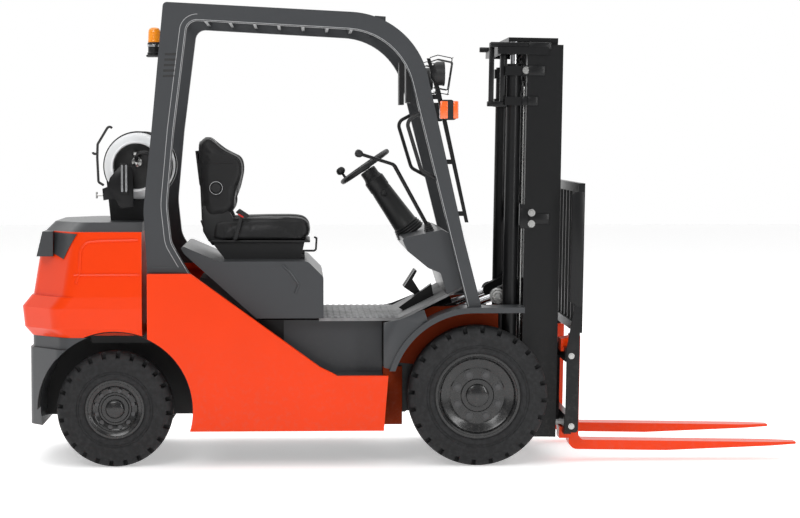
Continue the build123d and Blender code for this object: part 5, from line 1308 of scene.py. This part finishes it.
# Guard and body trim
GUARD_INSIDE = [(-0.046, 0.738), (-0.124, 1.05)] + from_rear(
    (1318, 2008.7), (342, 2062.3), (278, 1558), (246, 1211), (264, 1040), (349, 893)
)
GUARD_BENDS = (0, 0.06, 0.32, 0.05, 0.3, 0.3, 0.12, 0)
GUARD_FACE = 0.5295
GUARD_REAR_POINTS = 45
GUARD_FOOT = from_rear((160, 897), (340, 897), (322, 925), (156, 925))
LOUVRES = 5
LOUVRE_LOW, LOUVRE_PITCH, LOUVRE_HEIGHT = 1.8, 0.025, 0.012
LOUVRE_BACK, LOUVRE_LENGTH = -1.452, 0.055
FENDER_X, FENDER_Z, FENDER_RADIUS = -0.015, 0.325, 0.402
FENDER_WEB = [(-0.25, 0.728), (-0.36, 0.684), (-0.438, 0.667), (-0.438, 0.46)]
FENDER_SKIRT = [(-0.436, 0.176), (-0.345, 0.176), (-0.345, 0.45), (-0.436, 0.45)]
ARCH_RADIUS = 0.358
ARCH_STEPS = 24
ARCH_THINNER = 0.994
WELL_FOOT = 0.2
WING_TOP, WING_LOW_REAR, WING_LOW_FRONT = 1.103, 0.985, 0.962
WING_REAR, WING_FRONT_TOP, WING_FRONT_LOW = -1.968, -1.82, -1.915
WING_LIFT = 0.006
WING_ROWS, WING_STEPS = 24, 8
WEIGHT_RIM = [(-1.853, 0.853), (-1.835, 0.9), (-1.83, 1.04), (-1.74, 1.048), (-1.568, 1.052)]
WEIGHT_BENDS = (0, 0.04, 0.055, 0, 0)
WEIGHT_LINE = [(-1.862, 0.891), (-1.562, 0.891)]
PANEL_EDGE = from_rear((156, 893), (351, 893)) + [(-0.737, 0.463), (-0.657, 0.423)]
PANEL_LIP_YS = (0.5705, 0.553)
HOOD_CREASE = [(-0.903, 0.93), (-0.87, 0.9), (-0.83, 0.84), (-0.846, 0.8)]
MAT_RIBS = 12
MAT_BACK, MAT_PITCH, MAT_RIB = -0.725, 0.03, 0.016


def build_guard_trim():
    """A pale line inside both pillars as a painted highlight along their inner edges, dark louvre slots in
    the rear pillars as painted shade, and end caps.
    """
    inside = bent(GUARD_INSIDE, GUARD_BENDS)
    edges = aside(inside, -0.005), aside(inside[-GUARD_REAR_POINTS:], -0.03)
    lines = [side_path(side * GUARD_FACE, edge) for side in (-1, 1) for edge in edges]
    # Thin pale bars that paint the highlight along the pillars' inner edges
    add_bars("guard_edge_highlights", lines, 0.0016, 0.0, "trim", "chassis", 8)
    # Dark bricks in the rear pillars as painted shade in the louvre slots
    slots = bmesh.new()
    for side in (-1, 1):
        for row in range(LOUVRES):
            z = LOUVRE_LOW + LOUVRE_PITCH * row
            x = LOUVRE_BACK + (z - LOUVRE_LOW) * 0.1
            across = span(side, 0.5265, 0.5308)
            brick(slots, (x, x + LOUVRE_LENGTH), across, (z, z + LOUVRE_HEIGHT), truck, 0.002)
    add_shape("guard_louvre_shade", slots, "steel", "chassis")
    add_plates("guard_feet", GUARD_FOOT, 0.53, 0.5335, "charcoal", "chassis", truck, 0.001)


def build_fender_webs():
    """Dark webs behind the front fenders' bands, and skirts on the inner fenders in an orange darkened as
    painted shade.
    """
    angles = [radians(162 - 4 * i) for i in range(11)]
    arc = [(FENDER_X + FENDER_RADIUS * cos(a), FENDER_Z + FENDER_RADIUS * sin(a)) for a in angles]
    add_plates("fender_webs", FENDER_WEB + arc, 0.546, 0.558, "charcoal", "chassis", truck, 0.003)
    add_plates("fender_skirts", FENDER_SKIRT, 0.378, 0.39, "shaded_orange", "chassis", truck, 0.003)


def build_arch_shade():
    """Dark walls between the rear wheels and a lining under each rear arch, both dark sheets put in as
    painted shade inside the arches.
    """
    base = REAR_X - FRONT_X
    angles = [pi * i / ARCH_STEPS for i in range(ARCH_STEPS + 1)]

    def arch(radius):
        return [(base + radius * cos(a), REAR_Z + radius * sin(a)) for a in angles]

    wall = arch(ARCH_RADIUS) + [(base - ARCH_RADIUS, WELL_FOOT), (base + 0.35, WELL_FOOT)]
    lining = arch(ARCH_RADIUS) + arch(ARCH_RADIUS * ARCH_THINNER)[::-1]
    shape = bmesh.new()
    for side in (-1, 1):
        slab(shape, wall, *span(side, 0.112, 0.116))
        slab(shape, lining, *span(side, 0.116, 0.52))
    # Dark sheets as painted shade where the arches are open
    add_shape("rear_arch_shade", shape, "steel", "chassis")


def wing_rows(surface, side, lift):
    """Rows of points on the counterweight's side, from the cover's edge down to the wing's slope."""
    rows = []
    for row in range(WING_ROWS + 1):
        share = row / WING_ROWS
        front = WING_FRONT_TOP + (WING_FRONT_LOW - WING_FRONT_TOP) * share ** 0.7
        line = []
        for step in range(WING_STEPS + 1):
            along = step / WING_STEPS
            low = WING_LOW_REAR + (WING_LOW_FRONT - WING_LOW_REAR) * along
            line.append((WING_REAR + (front - WING_REAR) * along, WING_TOP + (low - WING_TOP) * share))
        laid = laid_on(surface, line, side, lift)
        if len(laid) == len(line):
            rows.append(laid)
    return rows


def build_cover_wings():
    """The rear cover's sides, which come down over the counterweight and end in a slope."""
    surface, shape = surface_of("counterweight"), bmesh.new()
    for side in (-1, 1):
        borders = []
        for lift in (WING_LIFT, -WING_LIFT):
            rows = [[shape.verts.new(place) for place in row] for row in wing_rows(surface, side, lift)]
            skin(shape, rows, loop=False)
            front, rear = [row[-1] for row in rows[1:-1]], [row[0] for row in rows[-2:0:-1]]
            borders.append(rows[0] + front + rows[-1][::-1] + rear)
        skin(shape, borders)
    add_shape("cover_wings", shape, "charcoal", "chassis")


def build_body_trim():
    """Raised lines on the counterweight, lips along the panels, creases in the hood and mat ribs."""
    weight, hood = surface_of("counterweight"), surface_of("hood")
    rim, line = finer(bent(WEIGHT_RIM, WEIGHT_BENDS), 0.015), finer(WEIGHT_LINE)
    lines = [laid_on(weight, path, side) for side in (-1, 1) for path in (rim, line)]
    add_bars("counterweight_lines", lines, 0.0065, 0.0, "orange", "chassis", 10)
    lips = [side_path(side * y, PANEL_EDGE) for side in (-1, 1) for y in PANEL_LIP_YS]
    add_bars("panel_lips", lips, 0.004, 0.02, "orange", "chassis", 8)
    creases = [laid_on(hood, finer(HOOD_CREASE, 0.012), side) for side in (-1, 1)]
    add_bars("hood_creases", creases, 0.006, 0.0, "charcoal", "hood", 8)
    ribs = bmesh.new()
    for row in range(MAT_RIBS):
        x = MAT_BACK + MAT_PITCH * row
        brick(ribs, (x, x + MAT_RIB), (-0.425, 0.425), (0.6815, 0.6855), truck, 0.0012)
    add_shape("mat_ribs", ribs, "mat", "chassis")


# Tank trim and hose
GUIDE_ROD_Y, LATCH_Y, TANK_PIN_Y = -0.372, -0.33, -0.3
GUIDE_RODS = [[(x, 1.27), (x, 1.396)] for x in (-1.652, -1.633)]
LATCH_ROD = [
    [
        (-1.7, 1.567), (-1.714, 1.579), (-1.726, 1.562), (-1.768, 1.492), (-1.77, 1.43), (-1.765, 1.315),
        (-1.74, 1.3),
    ],
    [(-1.768, 1.447), (-1.79, 1.447), (-1.79, 1.455)],
]
TANK_PINS = [[(-1.776, 1.253), (-1.69, 1.253)], [(-1.776, 1.238), (-1.776, 1.268)]]
TANK_LOCK_PLATE = [
    (-1.71, 1.335), (-1.665, 1.388), (-1.61, 1.388), (-1.6, 1.36), (-1.6, 1.2), (-1.66, 1.19), (-1.685, 1.24),
    (-1.74, 1.23), (-1.745, 1.285), (-1.72, 1.292),
]
TANK_LOCK_TABS = ((1.262, 1.276), (1.39, 1.402))
HOSE_RADIUS = 0.009
HOSE_ROUTE = [
    truck(-1.588, -0.33, 1.415), truck(-1.588, -0.36, 1.43), truck(-1.57, -0.385, 1.455),
    truck(-1.52, -0.385, 1.45), truck(-1.48, -0.37, 1.39), truck(-1.47, -0.33, 1.3), truck(-1.47, -0.3, 1.2),
    truck(-1.47, -0.29, 1.12),
]


def build_hose():
    """The fuel hose, from the tank's valve down behind the rear pillar."""
    hose = bpy.data.curves.new("fuel_hose", "CURVE")
    hose.dimensions = "3D"
    hose.bevel_depth = HOSE_RADIUS
    hose.bevel_resolution = 3
    line = hose.splines.new("NURBS")
    line.points.add(len(HOSE_ROUTE) - 1)
    for point, place in zip(line.points, HOSE_ROUTE):
        point.co = (*place, 1)
    line.order_u = 3
    line.use_endpoint_u = True
    hose.use_fill_caps = True
    hose.materials.append(finishes["plastic"])
    made = put("fuel_hose", hose)
    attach(made, "chassis")


def build_tank_trim():
    """Latch rod, T-handled pins, guide rods and the fuel hose at the tank bracket."""
    for name, y, paths, radius, bend, finish in (
        ("tank_guide_rods", GUIDE_ROD_Y, GUIDE_RODS, 0.006, 0.0, "chrome"),
        ("tank_latch_rod", LATCH_Y, LATCH_ROD, 0.006, 0.012, "steel"),
        ("tank_pins", TANK_PIN_Y, TANK_PINS, 0.0045, 0.0, "zinc"),
    ):
        add_bars(name, [side_path(y, path) for path in paths], radius, bend, finish, "chassis")
    plate = bmesh.new()
    slab(plate, TANK_LOCK_PLATE, -0.366, -0.352, truck, 0.002)
    for z_range in TANK_LOCK_TABS:
        brick(plate, (-1.66, -1.622), (-0.376, -0.366), z_range, truck, 0.002)
    add_shape("tank_lock_plate", plate, "black", "chassis")
    build_hose()


# Stage
FLOOR_SIZE = 60.0
FLOOR_COLOUR = (0.93, 0.93, 0.93)
FLOOR_GLOW = 0.4
SKY_NEAR, SKY_FAR = 0.28, 1.0
SKY_TURN = (-0.3, 0.7)
LIGHTS = (
    ("top", (0, 1.0, 8.0), (0, 1.001, 0), (18.0, 18.0), 1000),
    ("key", (-3.0, -7.0, 5.0), (0, 0, 0.9), (3.5, 2.5), 170),
    ("strip", (3.5, -6.0, 2.5), (0.2, 0, 1.0), (0.7, 3.5), 75),
)


def looking(way):
    """The turn of a light or a camera that looks that way."""
    return way.to_track_quat("-Z", "Y").to_euler()


def add_area_light(name, place, aim, size, power):
    light = bpy.data.lights.new(name, "AREA")
    light.shape = "RECTANGLE"
    light.size, light.size_y = size
    light.energy = power
    made = put(name, light)
    made.location = place
    made.rotation_euler = looking(Vector(aim) - Vector(place))


def add_floor():
    """A flat pale sheet, which isn't part of the truck."""
    finish = Finish("pale_floor", FLOOR_COLOUR, 0.7)
    finish.set("Roughness", 0.65 + finish.noise(8.0) * 0.1)
    finish.set("Emission Color", (1, 1, 1, 1))
    finish.set("Emission Strength", FLOOR_GLOW)
    half = FLOOR_SIZE / 2
    mesh = bpy.data.meshes.new("floor")
    corners = [(-half, -half, 0), (half, -half, 0), (half, half, 0), (-half, half, 0)]
    mesh.from_pydata(corners, [], [(0, 1, 2, 3)])
    mesh.materials.append(finish.material)
    sheet = put("floor", mesh)


def add_sky():
    """A white studio that is dimmer on the camera's side."""
    world = bpy.data.worlds.new("studio")
    world.use_nodes = True
    nodes, links = world.node_tree.nodes, world.node_tree.links
    parts = nodes.new("ShaderNodeSeparateXYZ")
    links.new(nodes.new("ShaderNodeTexCoord").outputs["Generated"], parts.inputs[0])
    level = nodes.new("ShaderNodeMapRange")
    level.interpolation_type = "SMOOTHSTEP"
    for name, value in zip(("From Min", "From Max", "To Min", "To Max"), (*SKY_TURN, SKY_NEAR, SKY_FAR)):
        level.inputs[name].default_value = value
    links.new(parts.outputs["Y"], level.inputs["Value"])
    links.new(level.outputs[0], nodes["Background"].inputs["Strength"])
    nodes["Background"].inputs["Color"].default_value = (1, 1, 1, 1)
    bpy.context.scene.world = world


def add_camera():
    camera = bpy.data.cameras.new("camera")
    camera.lens = CAMERA_LENS
    camera.sensor_width = 36.0
    camera.sensor_fit = "HORIZONTAL"
    camera.clip_end = 100.0
    holder = put("camera", camera)
    holder.location = CAMERA_PLACE
    level = cos(CAMERA_PITCH)
    holder.rotation_euler = looking(
        Vector((sin(CAMERA_YAW) * level, cos(CAMERA_YAW) * level, -sin(CAMERA_PITCH)))
    )
    bpy.context.scene.camera = holder


def build_stage():
    """Pale floor, soft light and the photograph's camera."""
    bpy.context.scene.view_settings.view_transform = "Standard"
    add_sky()
    add_floor()
    for light in LIGHTS:
        add_area_light(*light)
    add_camera()


dress_nodes()
build_stage()
build_wheels()
build_steering()
build_column()
build_levers()
build_tank()
build_beacon()
build_lamps()
build_seat()
build_chains()
build_mast_trim()
build_carriage_trim()
build_guard_trim()
build_arch_shade()
build_fender_webs()
build_cover_wings()
build_body_trim()
build_tank_trim()
